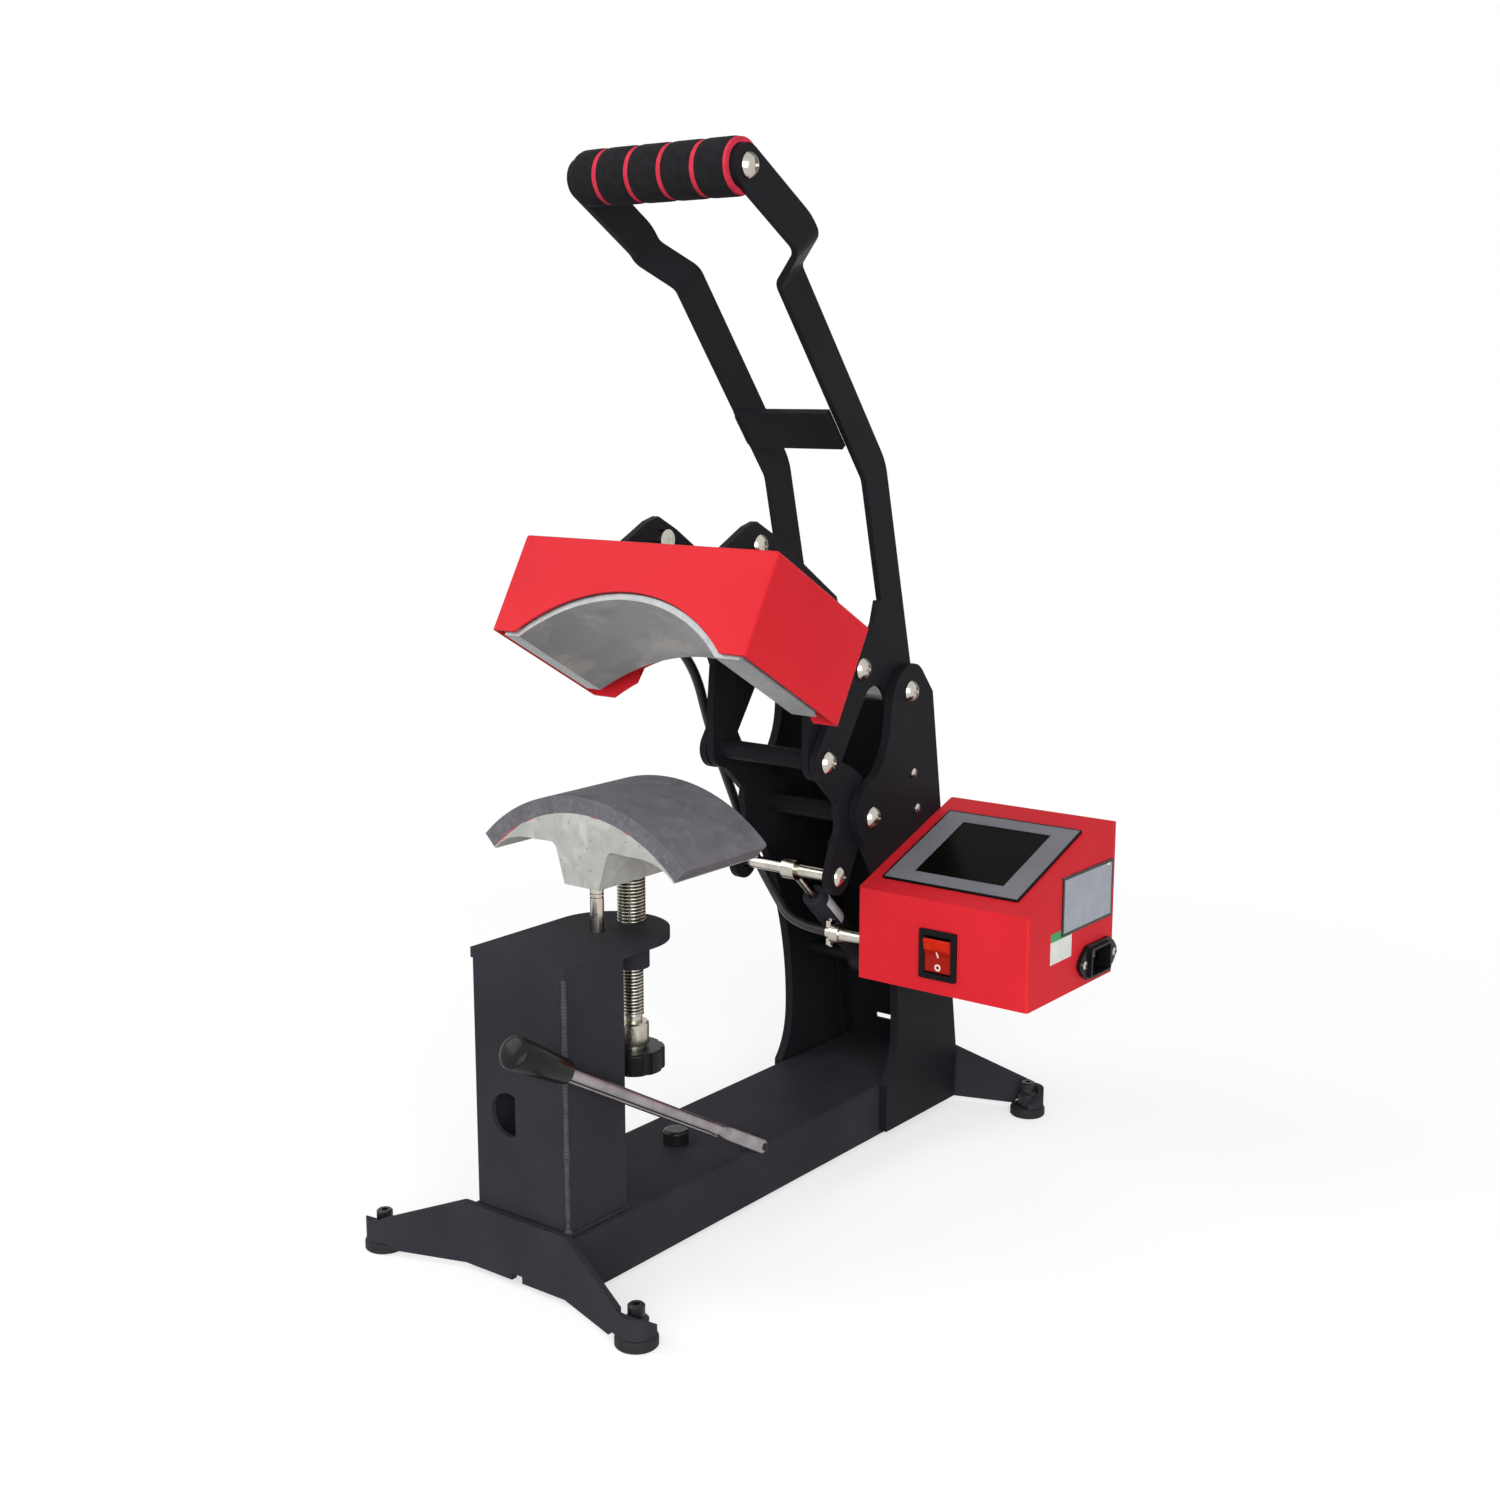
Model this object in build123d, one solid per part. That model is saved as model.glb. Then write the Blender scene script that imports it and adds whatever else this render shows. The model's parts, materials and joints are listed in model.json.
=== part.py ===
from build123d import *
import math
import os

# Curved-platen heat press for caps. X runs across the press, Y from front to rear, Z up.
# All sizes are in millimetres. Y = 0 is the axis of the front feet until the final shift.

# ---- general clearances ----
RUN = 0.1            # radial running fit of a pin in a bore
GAP = 0.3            # free gap between pieces that move past each other
HOLE = 0.25          # radial clearance of a screw in its hole

# ---- base frame ----
CHANNEL_HALF = 41.0
CHANNEL_TOP = 38.0
CHANNEL_BOTTOM = 3.0
CHANNEL_WALL = 3.0
CHANNEL_FRONT = 12.0
FOOT_X = 98.0
FOOT_REAR_Y = 418.0
CHANNEL_REAR = FOOT_REAR_Y - CHANNEL_FRONT
FOOT_PLATE = 4.0
FOOT_BEND_X = 38.8
FOOT_TOP = 41.3
FOOT_LOW = 4.0
FOOT_ROLL_R = 7.0      # inside radius of the rolled ends
FOOT_ROLL_END = 60.0   # where a roll ends, degrees round its stud
FOOT_NOTCH_X = 2.0
FOOT_NOTCH_W = 8.0
PAD_R = 12.0
PAD_H = 7.0
PAD_SOCKET = 3.0
ROLL_TOP = 19.5
ROLL_MID = 15.5          # a roll's height beside its stud, falling towards its end
ROLL_FALL = 0.606        # fall of its edge for each millimetre rearwards
BUSH_TOP = 17.0
STUD_R = 4.8
STUD_TOP = 23.5
STUD_HEX = 2.2

# ---- front column and lifting screw ----
COLUMN_HALF = 35.5
COLUMN_FRONT = 15.0
COLUMN_REAR = 64.0
COLUMN_TOP = 186.0
COLUMN_WALL = 3.0
TOP_PLATE = 6.0
TOP_PLATE_R = COLUMN_HALF
TOP_PLATE_ROUND_Y = 92.0
WINDOW_X = -8.9        # round window in the column's front, cut off straight on its right
WINDOW_Z = 98.5
WINDOW_R = 12.8
WINDOW_CUT_X = -3.2
SCREW_Y = 112.0
SCREW_R = 8.5
SCREW_LOW_R = 6.8
SCREW_PITCH = 2.0
NUT_R = 10.5
NUT_LOW = 164.0
GUIDE_Y = 82.0
GUIDE_R = 4.1
NECK_R = 5.8
NECK_TOP = 134.0
COLLAR_TURNED_R = 9.7
COLLAR_TURNED_TOP = 130.3
KNOB_R = 19.0
KNOB_TOP = 114.5
KNOB_LOW = 101.0

# ---- lower platen ----
PLATEN_FRONT = 69.2
PLATEN_REAR = 144.5
PAD_OUTER_R = 107.3
PAD_THICK = 10.0
PAD_APEX = 273.1
PAD_HALF_ANGLE = 45.2
KEEL_LOW = 220.6
KEEL_LOW_HALF = 13.0
KEEL_DRAFT = 17.0
WING_APEX_X = 26.0     # crest of the hollow under each wing
WING_APEX_Z = 244.2
WING_R = 60.0
WING_FILLET = 5.0
SOCKET_DEPTH = 12.0    # how far the screw and the pin reach into the keel

# ---- linkage pivots (Y, Z) with the press open ----
HANDLE_PIVOT = (338.4, 304.4)
ARM_PIVOT = (295.1, 227.4)
LINK_TOP = (283.5, 325.3)
LINK_LOW = (246.1, 270.8)
SHAFT = (267.9, 192.3)
STRUT_ANCHOR = (352.0, 112.0)
STRUT_X = 3.0        # the strut stands a little right of the middle
SHAFT_R = 4.2
SHAFT_END_R = 3.0
COLLAR_R = 7.0
ANCHOR_FREE = 2.2    # radial play of the strut's lower eye on the anchor rod
TILT = 29.8          # heater tilt when open, degrees
PLATE = 5.0          # thickness of arms, links and carrier plates
INNER_X = 35.0       # inner face of handle arms and carrier plates
OUTER_X = 41.0       # inner face of links and brackets
BRACKET = 6.0
REAR_HIGH = (HANDLE_PIVOT[0] + 27.2, HANDLE_PIVOT[1] - 3.2)   # rear edge of the brackets
REAR_MIDDLE = (377.4, 225.5)
REAR_LOW = (404.5, 42.0)
BRACKET_HEEL = (403.1, 6.0)
BRACKET_TOE = (316.4, 6.0)
BOLT_R = 4.0
BOLT_REACH = 27.0    # inboard end of a pivot bolt
HEAD_R = 7.2
HEAD_H = 5.0
LINK_R = 13.0

# ---- handle ----
GRIP = (145.5, 618.8)
BEND_UP = (196.8, 587.2)
BEND_LOW = (304.9, 448.5)
BAR_FOOT = (340.2, 304.4)
ARM_WIDTH = 24.0
ARM_SHEET = 4.0
ARM_BEND_R = 26.0
ARM_LOW_X = INNER_X + PLATE - ARM_SHEET
ARM_UPPER_X = 57.6
JOGGLE_DIR = (0.537, -0.843)
JOGGLE_START = -381.5
JOGGLE_END = -361.7
JOGGLE_BEND_R = 9.0
GRIP_HALF = ARM_UPPER_X - 0.2
FOAM_R = 16.1
RING_R = 15.5
RING_BED_R = 12.5
RING_W = 5.0
RING_STEP = 23.8
RING_COUNT = 5
CORE_R = 9.0

# ---- heater, drawn level (closed) and tipped open afterwards ----
HEATER_HALF = 95.0
HEATER_FRONT = 58.5
HEATER_REAR = 162.0
HEATER_LOW = 243.0
HEATER_TOP = 306.0
EAR_BOLT = (108.5, HEATER_TOP + 24.0)   # in the level frame of the heater
SHEET = 1.5
SHELL_ARCH_R = 111.7
SHELL_ARCH_APEX = 274.2
CONCAVE_R = 109.0
CONCAVE_APEX = 269.8
CAST_FREE = 0.8        # free gap between the cast platen and its shell
CAST_REAR = 143.0
CAST_THICK = 13.0
CAST_LIP = 8.0
CAST_LOW = HEATER_LOW - 2.0      # the casting stands a little below its shell
CAST_LEFT = HEATER_HALF - 9.5
CAST_RIGHT = HEATER_HALF - 3.8
BOSS_R = 5.0
ELEMENT = 3.0
CARRIER_FLANGE = 4.0
CARRIER_SCREW_Y = (92.0, 136.0)
CARRIER_SCREW_IN = 7.0
CARRIER_SCREW_R = 2.2

# ---- control box ----
BOX_LEFT = 47.0
BOX_RIGHT = 172.0
BOX_FRONT = 280.0
BOX_REAR = 392.0
BOX_LOW = 124.3
BOX_FRONT_TOP = 184.4
BOX_REAR_TOP = 224.7
BEND_R = 2.0
SWITCH_X = 108.2
SWITCH_Z = 150.0
SWITCH_W = 27.0
SWITCH_H = 32.0
INLET_Y = 367.0
INLET_Z = 139.5
CONNECTOR_Y = BOX_FRONT + 12.0
CONNECTOR_Z = 146.3
CONNECTOR_END = 15.0
CABLE_SEAT = 1.5

# ---- side lever ----
LEVER_PIVOT = (179.0, 40.5)
LEVER_X = 46.0
LEVER_ANGLE = 29.5
LEVER_ROD_R = 3.5
LEVER_GRIP_AT = 201.0
LEVER_LENGTH = 246.0


def place(face, x0, x1):
    """Plate from a Y-Z outline, between two X positions."""
    return extrude(Plane.YZ.offset(x0) * face, amount=x1 - x0)


def disc(at, r):
    return Pos(at[0], at[1]) * Circle(r)


def both(part):
    """The piece and its mirror image across the middle plane, as two solids."""
    return group([part, mirror(part, about=Plane.YZ)])


def rod_x(at, r, x0, x1):
    """Round bar along X through a Y-Z point."""
    return place(disc(at, r), x0, x1)


def rod_z(x, y, r, z0, z1):
    return Pos(x, y, z0) * Cylinder(r, z1 - z0, align=(Align.CENTER, Align.CENTER, Align.MIN))


def block(x0, x1, y0, y1, z0, z1):
    return Pos(x0, y0, z0) * Box(x1 - x0, y1 - y0, z1 - z0, align=Align.MIN)


def poly(points):
    return make_face(Polyline(*points, close=True).edges())


def hull(a, ra, b, rb):
    """Plate outline round two circles, joined by their tangents."""
    return make_hull([*disc(a, ra).edges(), *disc(b, rb).edges()])


def tipped(part):
    """Turn a piece drawn with the heater level into its open position."""
    y, z = ARM_PIVOT
    return Pos(0, y, z) * Rot(-TILT, 0, 0) * Pos(0, -y, -z) * part


def tip_point(y, z):
    """A level-heater point, given where it lies with the press open."""
    a = math.radians(-TILT)
    dy = y - ARM_PIVOT[0]
    dz = z - ARM_PIVOT[1]
    return (ARM_PIVOT[0] + dy * math.cos(a) - dz * math.sin(a),
            ARM_PIVOT[1] + dy * math.sin(a) + dz * math.cos(a))


def lens_head(at, x, r=HEAD_R, h=HEAD_H):
    """Domed cross-recess bolt head whose flat side sits at x."""
    rim = 1.0
    dome = h - rim
    ball_r = (r * r + dome * dome) / (2 * dome)
    half = math.asin(r / ball_r) / 2
    mid = (h - ball_r + ball_r * math.cos(half), ball_r * math.sin(half))
    arc = ThreePointArc((rim, r), mid, (h, 0))
    sides = Polyline((h, 0), (0, 0), (0, r), (rim, r))
    head = revolve(make_face([*arc.edges(), *sides.edges()]), axis=Axis.X)
    reach = 0.42 * r
    deep = h - 1.6
    slot = block(deep, h + 1, -0.7, 0.7, -reach, reach) + block(deep, h + 1, -reach, reach, -0.7, 0.7)
    return Pos(x, at[0], at[1]) * (head - slot)


def group(pieces):
    """One node from separate solids."""
    return Compound(children=[solid for piece in pieces for solid in piece.solids()])


# ================= base frame =================

def base_channel():
    w = CHANNEL_HALF
    outer = block(-w, w, CHANNEL_FRONT, CHANNEL_REAR, CHANNEL_BOTTOM, CHANNEL_TOP)
    outer = fillet(outer.edges().filter_by(Axis.Y).group_by(Axis.Z)[-1], 3)
    i = w - CHANNEL_WALL
    inner = block(-i, i, CHANNEL_FRONT - 1, CHANNEL_REAR + 1, 0, CHANNEL_TOP - CHANNEL_WALL)
    stop_hole = rod_z(-4, 156, 4 + HOLE, 0, CHANNEL_TOP + 1)
    return outer - inner - stop_hole


def foot_strip():
    """Plan of one foot sheet: straight along the channel's end, splayed and rolled round the studs."""
    mid = FOOT_ROLL_R + FOOT_PLATE / 2
    y = CHANNEL_FRONT - FOOT_PLATE / 2
    run = FOOT_X - FOOT_BEND_X
    slope = math.degrees(math.atan2(-y, run) - math.asin(mid / math.hypot(run, y)))
    roll = CenterArc((FOOT_X, 0), mid, slope - 90, FOOT_ROLL_END + 90 - slope)
    path = Polyline((0, y), (FOOT_BEND_X, y), roll @ 0)
    half = trace(path, FOOT_PLATE) + trace(roll, FOOT_PLATE)
    return half + mirror(half, about=Plane.YZ)


def foot_plate(notch):
    """Front foot sheet, trimmed to its tapering side view."""
    half = CHANNEL_HALF
    end = FOOT_X + FOOT_ROLL_R + FOOT_PLATE + 1
    right = [(0, FOOT_TOP), (half, FOOT_TOP), (FOOT_X, ROLL_TOP), (end, ROLL_TOP),
             (end, PAD_H), (FOOT_X - PAD_R + 1, PAD_H), (FOOT_X - PAD_R - 2, FOOT_LOW), (0, FOOT_LOW)]
    view = poly(right) + mirror(poly(right), about=Plane.YZ)
    if notch:
        view = view - Pos(FOOT_NOTCH_X, FOOT_LOW) * Rectangle(FOOT_NOTCH_W, FOOT_NOTCH_W)
    sheet = extrude(foot_strip(), amount=FOOT_TOP) & extrude(Plane.XZ * view, amount=40, both=True)
    reach = 15
    above = [(-reach, ROLL_MID + reach * ROLL_FALL), (reach, ROLL_MID - reach * ROLL_FALL),
             (reach, FOOT_TOP), (-reach, FOOT_TOP)]
    above = place(poly(above), FOOT_X - 6, end)
    return sheet - above - mirror(above, about=Plane.YZ)


def rear_foot_plate():
    return mirror(foot_plate(False), about=Plane.XZ.offset(-FOOT_REAR_Y / 2))


def foot_positions():
    return [(s * FOOT_X, y) for s in (-1, 1) for y in (0.0, FOOT_REAR_Y)]


def foot_studs():
    """Levelling studs with a hexagon socket, each in a bush that fills the rolled sheet."""
    solids = []
    for x, y in foot_positions():
        stud = rod_z(x, y, STUD_R, PAD_SOCKET, STUD_TOP)
        stud = chamfer(stud.edges().group_by(Axis.Z)[-1], 0.8)
        bush = rod_z(x, y, FOOT_ROLL_R - RUN, PAD_H, BUSH_TOP)
        stud = stud + chamfer(bush.edges().group_by(Axis.Z)[-1], 1.8)
        stud = stud - Pos(x, y, STUD_TOP - 3) * extrude(RegularPolygon(STUD_HEX, 6), amount=5)
        solids.append(stud)
    return group(solids)


def foot_pads():
    solids = []
    for x, y in foot_positions():
        pad = rod_z(x, y, PAD_R, 0, PAD_H)
        pad = fillet(pad.edges().group_by(Axis.Z)[-1], 2.5)
        pad = chamfer(pad.edges().group_by(Axis.Z)[0], 0.8)
        solids.append(pad - rod_z(x, y, STUD_R, PAD_SOCKET, 30))
    return group(solids)


def front_column():
    w = COLUMN_HALF
    outer = block(-w, w, COLUMN_FRONT, COLUMN_REAR, CHANNEL_TOP, COLUMN_TOP)
    front = outer.edges().filter_by(Axis.Z).group_by(Axis.Y)[0]
    outer = fillet(front, 3)
    i = w - COLUMN_WALL
    inner = block(-i, i, COLUMN_FRONT + COLUMN_WALL, COLUMN_REAR + 1, CHANNEL_TOP - 1, COLUMN_TOP + 1)
    keep = Pos(WINDOW_CUT_X, WINDOW_Z) * Rectangle(60, 60, align=(Align.MAX, Align.CENTER))
    window = extrude(Plane.XZ * (disc((WINDOW_X, WINDOW_Z), WINDOW_R) & keep), amount=-(COLUMN_FRONT + i))
    return outer - inner - window


def column_top_plate():
    r = TOP_PLATE_R
    face = Rectangle(2 * r, TOP_PLATE_ROUND_Y - COLUMN_FRONT, align=(Align.CENTER, Align.MIN))
    face = Pos(0, COLUMN_FRONT) * face + Pos(0, TOP_PLATE_ROUND_Y) * Circle(r)
    plate = Pos(0, 0, COLUMN_TOP) * extrude(face, amount=TOP_PLATE)
    plate = plate - rod_z(0, SCREW_Y, SCREW_R + GAP, 0, 300)
    return plate - rod_z(0, GUIDE_Y, GUIDE_R + RUN, 0, 300)


def screw_nut():
    nut = rod_z(0, SCREW_Y, NUT_R, NUT_LOW, COLUMN_TOP)
    return nut - rod_z(0, SCREW_Y, SCREW_R + GAP, 0, 300)


def base_stop():
    stem = rod_z(-4, 156, 4, CHANNEL_TOP - 8, CHANNEL_TOP)
    head = rod_z(-4, 156, 8, CHANNEL_TOP, CHANNEL_TOP + 9)
    head = fillet(head.edges().group_by(Axis.Z)[-1], 2)
    return head + stem


def bracket_face():
    """Tall side plate: blade, lobe round the heater pivot and lobe round the handle pivot."""
    front = Spline((BRACKET_TOE[0], CHANNEL_TOP), (326, 55), (328.8, 84), (325.5, 117), (313, 163),
                   (298, 194), (285, 212.5), (277, 229), (282, 244.5), (299.7, 254.6),
                   (309, 266), (314.4, 281), (316.5, 299), (322.5, 313), (339, 322.4), (354, 315))
    rest = Polyline((354, 315), REAR_HIGH, REAR_MIDDLE, REAR_LOW, BRACKET_HEEL,
                    BRACKET_TOE, (BRACKET_TOE[0], CHANNEL_TOP))
    return make_face([*front.edges(), *rest.edges()])


def right_bracket():
    face = bracket_face()
    face = face - disc(HANDLE_PIVOT, BOLT_R + HOLE) - disc(ARM_PIVOT, BOLT_R + HOLE)
    face = face - disc(STRUT_ANCHOR, BOLT_R)
    for at in cover_screw_points():
        face = face - disc(at, 2 + HOLE)
    return place(face, OUTER_X, OUTER_X + BRACKET)


def cover_screw_points():
    return [(343.0, 249.0), (347.9, 224.2)]


def rear_line(z):
    """Y of the brackets' straight rear edge at a height."""
    fall = (REAR_HIGH[1] - z) / (REAR_HIGH[1] - REAR_LOW[1])
    return REAR_HIGH[0] + fall * (REAR_LOW[0] - REAR_HIGH[0])


def rear_cover():
    """Bent sheet between the brackets, with side flanges inside them and a slot at its foot."""
    t = 2.0
    low = CHANNEL_TOP
    high = 300.0
    pts = [(rear_line(low) - 1, low), (rear_line(high) - 1, high),
           (rear_line(high) - 1 - t, high), (rear_line(low) - 1 - t, low)]
    back = place(poly(pts), -OUTER_X, OUTER_X)
    high = 286.0
    wide = [(rear_line(low) - 1, low), (rear_line(high) - 1, high),
            (rear_line(high) - 14, high), (rear_line(low) - 14, low)]
    flange = place(poly(wide), OUTER_X - t + 0.5, OUTER_X)
    cover = back + flange + mirror(flange, about=Plane.YZ)
    slot = block(-18, 36, 380, 420, 52, 56)
    return cover - slot


def cover_block():
    """Small block inside the right bracket that its two screws hold."""
    y = (cover_screw_points()[0][0] + cover_screw_points()[1][0]) / 2
    body = block(OUTER_X - 4, OUTER_X, y - 9, y + 9, 214, 259)
    for at in cover_screw_points():
        body = body - rod_x(at, 1.6, 0, 60)
    return body


def bracket_screws():
    solids = []
    for at in cover_screw_points():
        x = OUTER_X + BRACKET
        solids.append(lens_head(at, x, 3.4, 2.2) + rod_x(at, 1.6, OUTER_X - 3, x + 0.5))
    return group(solids)


def pivot_bolt(at, x_face, x_end):
    shank = rod_x(at, BOLT_R, x_end, x_face + 1.5)
    return lens_head(at, x_face) + shank


def ground_bolts():
    """The four bolts on which the handle and the heater carrier turn, with their washers."""
    solids = []
    face = OUTER_X + BRACKET
    for at in (HANDLE_PIVOT, ARM_PIVOT):
        bolt = pivot_bolt(at, face, BOLT_REACH)
        washer = rod_x(at, BOLT_R + 5, INNER_X + PLATE + GAP, OUTER_X)
        bolt = bolt + washer
        solids.append(bolt)
        solids.append(mirror(bolt, about=Plane.YZ))
    return group(solids)


def strut_anchor():
    rod = rod_x(STRUT_ANCHOR, BOLT_R, -OUTER_X - BRACKET, OUTER_X + BRACKET)
    for s in (-1, 1):
        a = STRUT_X + s * (STRUT_EYE_HALF + GAP)
        b = STRUT_X + s * (STRUT_EYE_HALF + GAP + 2)
        rod = rod + rod_x(STRUT_ANCHOR, STRUT_EYE_R, min(a, b), max(a, b))
    return rod


def lever_lug():
    y, z = LEVER_PIVOT
    lug = block(CHANNEL_HALF - 7, CHANNEL_HALF - 3, y - 7, y + 7, CHANNEL_TOP, CHANNEL_TOP + 9)
    lug = fillet(lug.edges().filter_by(Axis.X).group_by(Axis.Z)[-1], 4)
    pin = rod_x((y, z), 2.4, CHANNEL_HALF - 3, LEVER_X + 2.5)
    return lug + pin


# ================= control box =================

def box_profile(inset):
    slope = (BOX_REAR_TOP - BOX_FRONT_TOP) / (BOX_REAR - BOX_FRONT)
    drop = inset * math.hypot(1, slope)
    y0 = BOX_FRONT + inset
    y1 = BOX_REAR - inset
    z0 = BOX_FRONT_TOP + slope * inset - drop
    z1 = BOX_REAR_TOP - slope * inset - drop
    low = BOX_LOW if inset == 0 else BOX_LOW - 5
    return poly([(y0, low), (y1, low), (y1, z1), (y0, z0)])


def slope_plane():
    """Plane of the sloping panel: local x across, local y up the slope."""
    d = Vector(0, BOX_REAR - BOX_FRONT, BOX_REAR_TOP - BOX_FRONT_TOP).normalized()
    n = Vector(1, 0, 0).cross(d)
    origin = ((BOX_LEFT + BOX_RIGHT) / 2, BOX_FRONT, BOX_FRONT_TOP)
    return Plane(origin=origin, x_dir=(1, 0, 0), z_dir=n)


FRAME_X = -3.0
FRAME_Y = 57.4
FRAME_W = 100.0
FRAME_L = 87.0
GLASS_Y = 58.2
GLASS_W = 66.0
GLASS_L = 64.0


def panel_piece(w, l, y, z0, z1, r):
    face = Pos(FRAME_X, y) * RectangleRounded(w, l, r)
    return extrude(slope_plane().offset(z0) * face, amount=z1 - z0)


def control_box_shell():
    outer = place(box_profile(0), BOX_LEFT, BOX_RIGHT)
    outer = fillet(outer.edges().filter_by(Axis.Z), BEND_R)
    inner = place(box_profile(SHEET), BOX_LEFT + SHEET, BOX_RIGHT - SHEET)
    shell = outer - inner
    shell = shell - panel_piece(GLASS_W + 4, GLASS_L + 4, GLASS_Y, -8, 8, 1)
    w = SWITCH_W / 2 - 2
    h = SWITCH_H / 2 - 2
    shell = shell - block(SWITCH_X - w, SWITCH_X + w, BOX_FRONT - 5, BOX_FRONT + 5,
                          SWITCH_Z - h, SWITCH_Z + h)
    shell = shell - block(BOX_RIGHT - 5, BOX_RIGHT + 5, INLET_Y - 14, INLET_Y + 14,
                          INLET_Z - 10, INLET_Z + 10)
    for s in (-1, 1):
        shell = shell - rod_x((INLET_Y + s * 20, INLET_Z), 1.6, BOX_RIGHT - 5, BOX_RIGHT + 5)
    return shell - rod_x((CONNECTOR_Y, CONNECTOR_Z), 5.1, BOX_LEFT - 5, BOX_LEFT + 5)


def control_box_pan():
    t = SHEET
    x0 = BOX_LEFT + t
    x1 = BOX_RIGHT - t
    pan = block(x0, x1, BOX_FRONT + t, BOX_REAR - t, BOX_LOW, BOX_LOW + t)
    lip = block(x0, x1, BOX_REAR - 2 * t, BOX_REAR - t, BOX_LOW, BOX_LOW + 12)
    lip = lip + block(x0, x1, BOX_FRONT + t, BOX_FRONT + 2 * t, BOX_LOW, BOX_LOW + 5)
    return pan + lip


def circuit_board():
    x0 = BOX_LEFT + 13
    x1 = BOX_RIGHT - 32
    y0 = BOX_FRONT + 20
    y1 = BOX_REAR - 20
    z = BOX_LOW + 8
    board = block(x0, x1, y0, y1, z, z + 1.6)
    for x in (x0 + 4, x1 - 4):
        for y in (y0 + 4, y1 - 4):
            board = board + rod_z(x, y, 2.5, BOX_LOW + SHEET, z)
    transformer = block(x0 + 10, x0 + 35, y0 + 12, y0 + 40, z + 1.6, z + 24)
    relay = block(x1 - 36, x1 - 10, y0 + 20, y0 + 52, z + 1.6, z + 18)
    return board + transformer + relay


def display_frame():
    frame = panel_piece(FRAME_W, FRAME_L, FRAME_Y, 0, 1.4, 1.5)
    neck = panel_piece(GLASS_W + 3.6, GLASS_L + 3.6, GLASS_Y, -6, 0.2, 0.8)
    return frame + neck - panel_piece(GLASS_W, GLASS_L, GLASS_Y, -9, 9, 0.5)


def display_glass():
    return panel_piece(GLASS_W - 0.2, GLASS_L - 0.2, GLASS_Y, -5, 0.7, 0.4)


def switch_bezel():
    w = SWITCH_W / 2
    h = SWITCH_H / 2
    rim = block(SWITCH_X - w, SWITCH_X + w, BOX_FRONT - 2, BOX_FRONT, SWITCH_Z - h, SWITCH_Z + h)
    rim = fillet(rim.edges().filter_by(Axis.Y), 1.2)
    sleeve = block(SWITCH_X - w + 2.2, SWITCH_X + w - 2.2, BOX_FRONT - 1, BOX_FRONT + 17,
                   SWITCH_Z - h + 2.2, SWITCH_Z + h - 2.2)
    well = block(SWITCH_X - w + 3.7, SWITCH_X + w - 3.7, BOX_FRONT - 9, BOX_FRONT + 12,
                 SWITCH_Z - h + 3.7, SWITCH_Z + h - 3.7)
    return rim + sleeve - well


ROCKER_DEPTH = 4.5   # pivot of the rocker behind the panel face
ROCKER_REST = 8.0    # rocker lean at rest, degrees


def rocker():
    """Two-lobed rocker, leaning to its lower side at rest."""
    w = SWITCH_W / 2 - 3.7 - GAP
    h = SWITCH_H / 2 - 3.7 - 1.0
    pts = [(-5.5, h), (-7.0, h - 1), (-5.6, 0), (-7.0, 1 - h), (-5.5, -h), (2, 4 - h), (2, h - 4)]
    body = place(poly(pts), -w, w)
    body = body + rod_x((0, 0), 2.0, -w, w)
    return Pos(SWITCH_X, BOX_FRONT + ROCKER_DEPTH, SWITCH_Z) * Rot(ROCKER_REST, 0, 0) * body


def inlet_socket():
    r = 11.2
    face = Rectangle(28, 2 * r)
    for s in (-1, 1):
        face = face + Pos(s * 20, 0) * Circle(5) + Pos(s * 15, 0) * Rectangle(10, 15)
    flange_face = make_hull(face.edges())
    at = Plane(origin=(BOX_RIGHT, INLET_Y, INLET_Z), x_dir=(0, 1, 0), z_dir=(1, 0, 0))
    body = extrude(at * flange_face, amount=3.0)
    mouth = Pos(0, -0.5) * RectangleRounded(24.5, 16.5, 1.5)
    collar = Pos(0, -0.5) * RectangleRounded(27.4, 19.4, 2.0)
    body = body + extrude(at * collar, amount=5.2)
    body = body + extrude(at.offset(-20) * (Pos(0, -0.5) * RectangleRounded(27, 19, 2)), amount=20)
    body = body - extrude(at.offset(-14) * mouth, amount=30)
    for y, z in [(-7, -2), (0, 2), (7, -2)]:
        pin = extrude(at.offset(-15) * (Pos(y, z) * Rectangle(2, 4)), amount=14)
        body = body + pin
    for s in (-1, 1):
        body = body - rod_x((INLET_Y + s * 20, INLET_Z), 1.6, BOX_RIGHT - 5, BOX_RIGHT + 9)
    return body


def box_screws():
    """Two inlet screws and two plate rivets."""
    solids = []
    for s in (-1, 1):
        at = (INLET_Y + s * 20, INLET_Z)
        solids.append(lens_head(at, BOX_RIGHT + 3, 3.0, 2.0) + rod_x(at, 1.6, BOX_RIGHT - 4, BOX_RIGHT + 3.4))
    return group(solids)


def rating_plate():
    return block(BOX_RIGHT, BOX_RIGHT + 0.8, 320.8, 387, 163.5, 201.5)


def cable_connector():
    """Panel socket in the box's left wall with the screwed plug and its cable clamp."""
    at = (CONNECTOR_Y, CONNECTOR_Z)
    end = CONNECTOR_END
    body = rod_x(at, 5.0, end + 5, BOX_LEFT + 8) + rod_x(at, 6.2, BOX_LEFT - 2.0, BOX_LEFT)
    body = body + rod_x(at, 6.5, end + 4, end + 11) + rod_x(at, 4.2, end, end + 4)
    for s in (-1, 1):
        clamp = block(end + 0.5, end + 4, at[0] - 3, at[0] + 3, at[1] + s * 6 - 2.2, at[1] + s * 6 + 2.2)
        screw = rod_z(end + 2.2, at[0], 1.5, at[1] + min(0, s * 9.5), at[1] + max(0, s * 9.5))
        body = body + clamp + screw
    return body - rod_x(at, CABLE_R, end - 5, end + CABLE_SEAT)


# ================= handle =================

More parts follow.
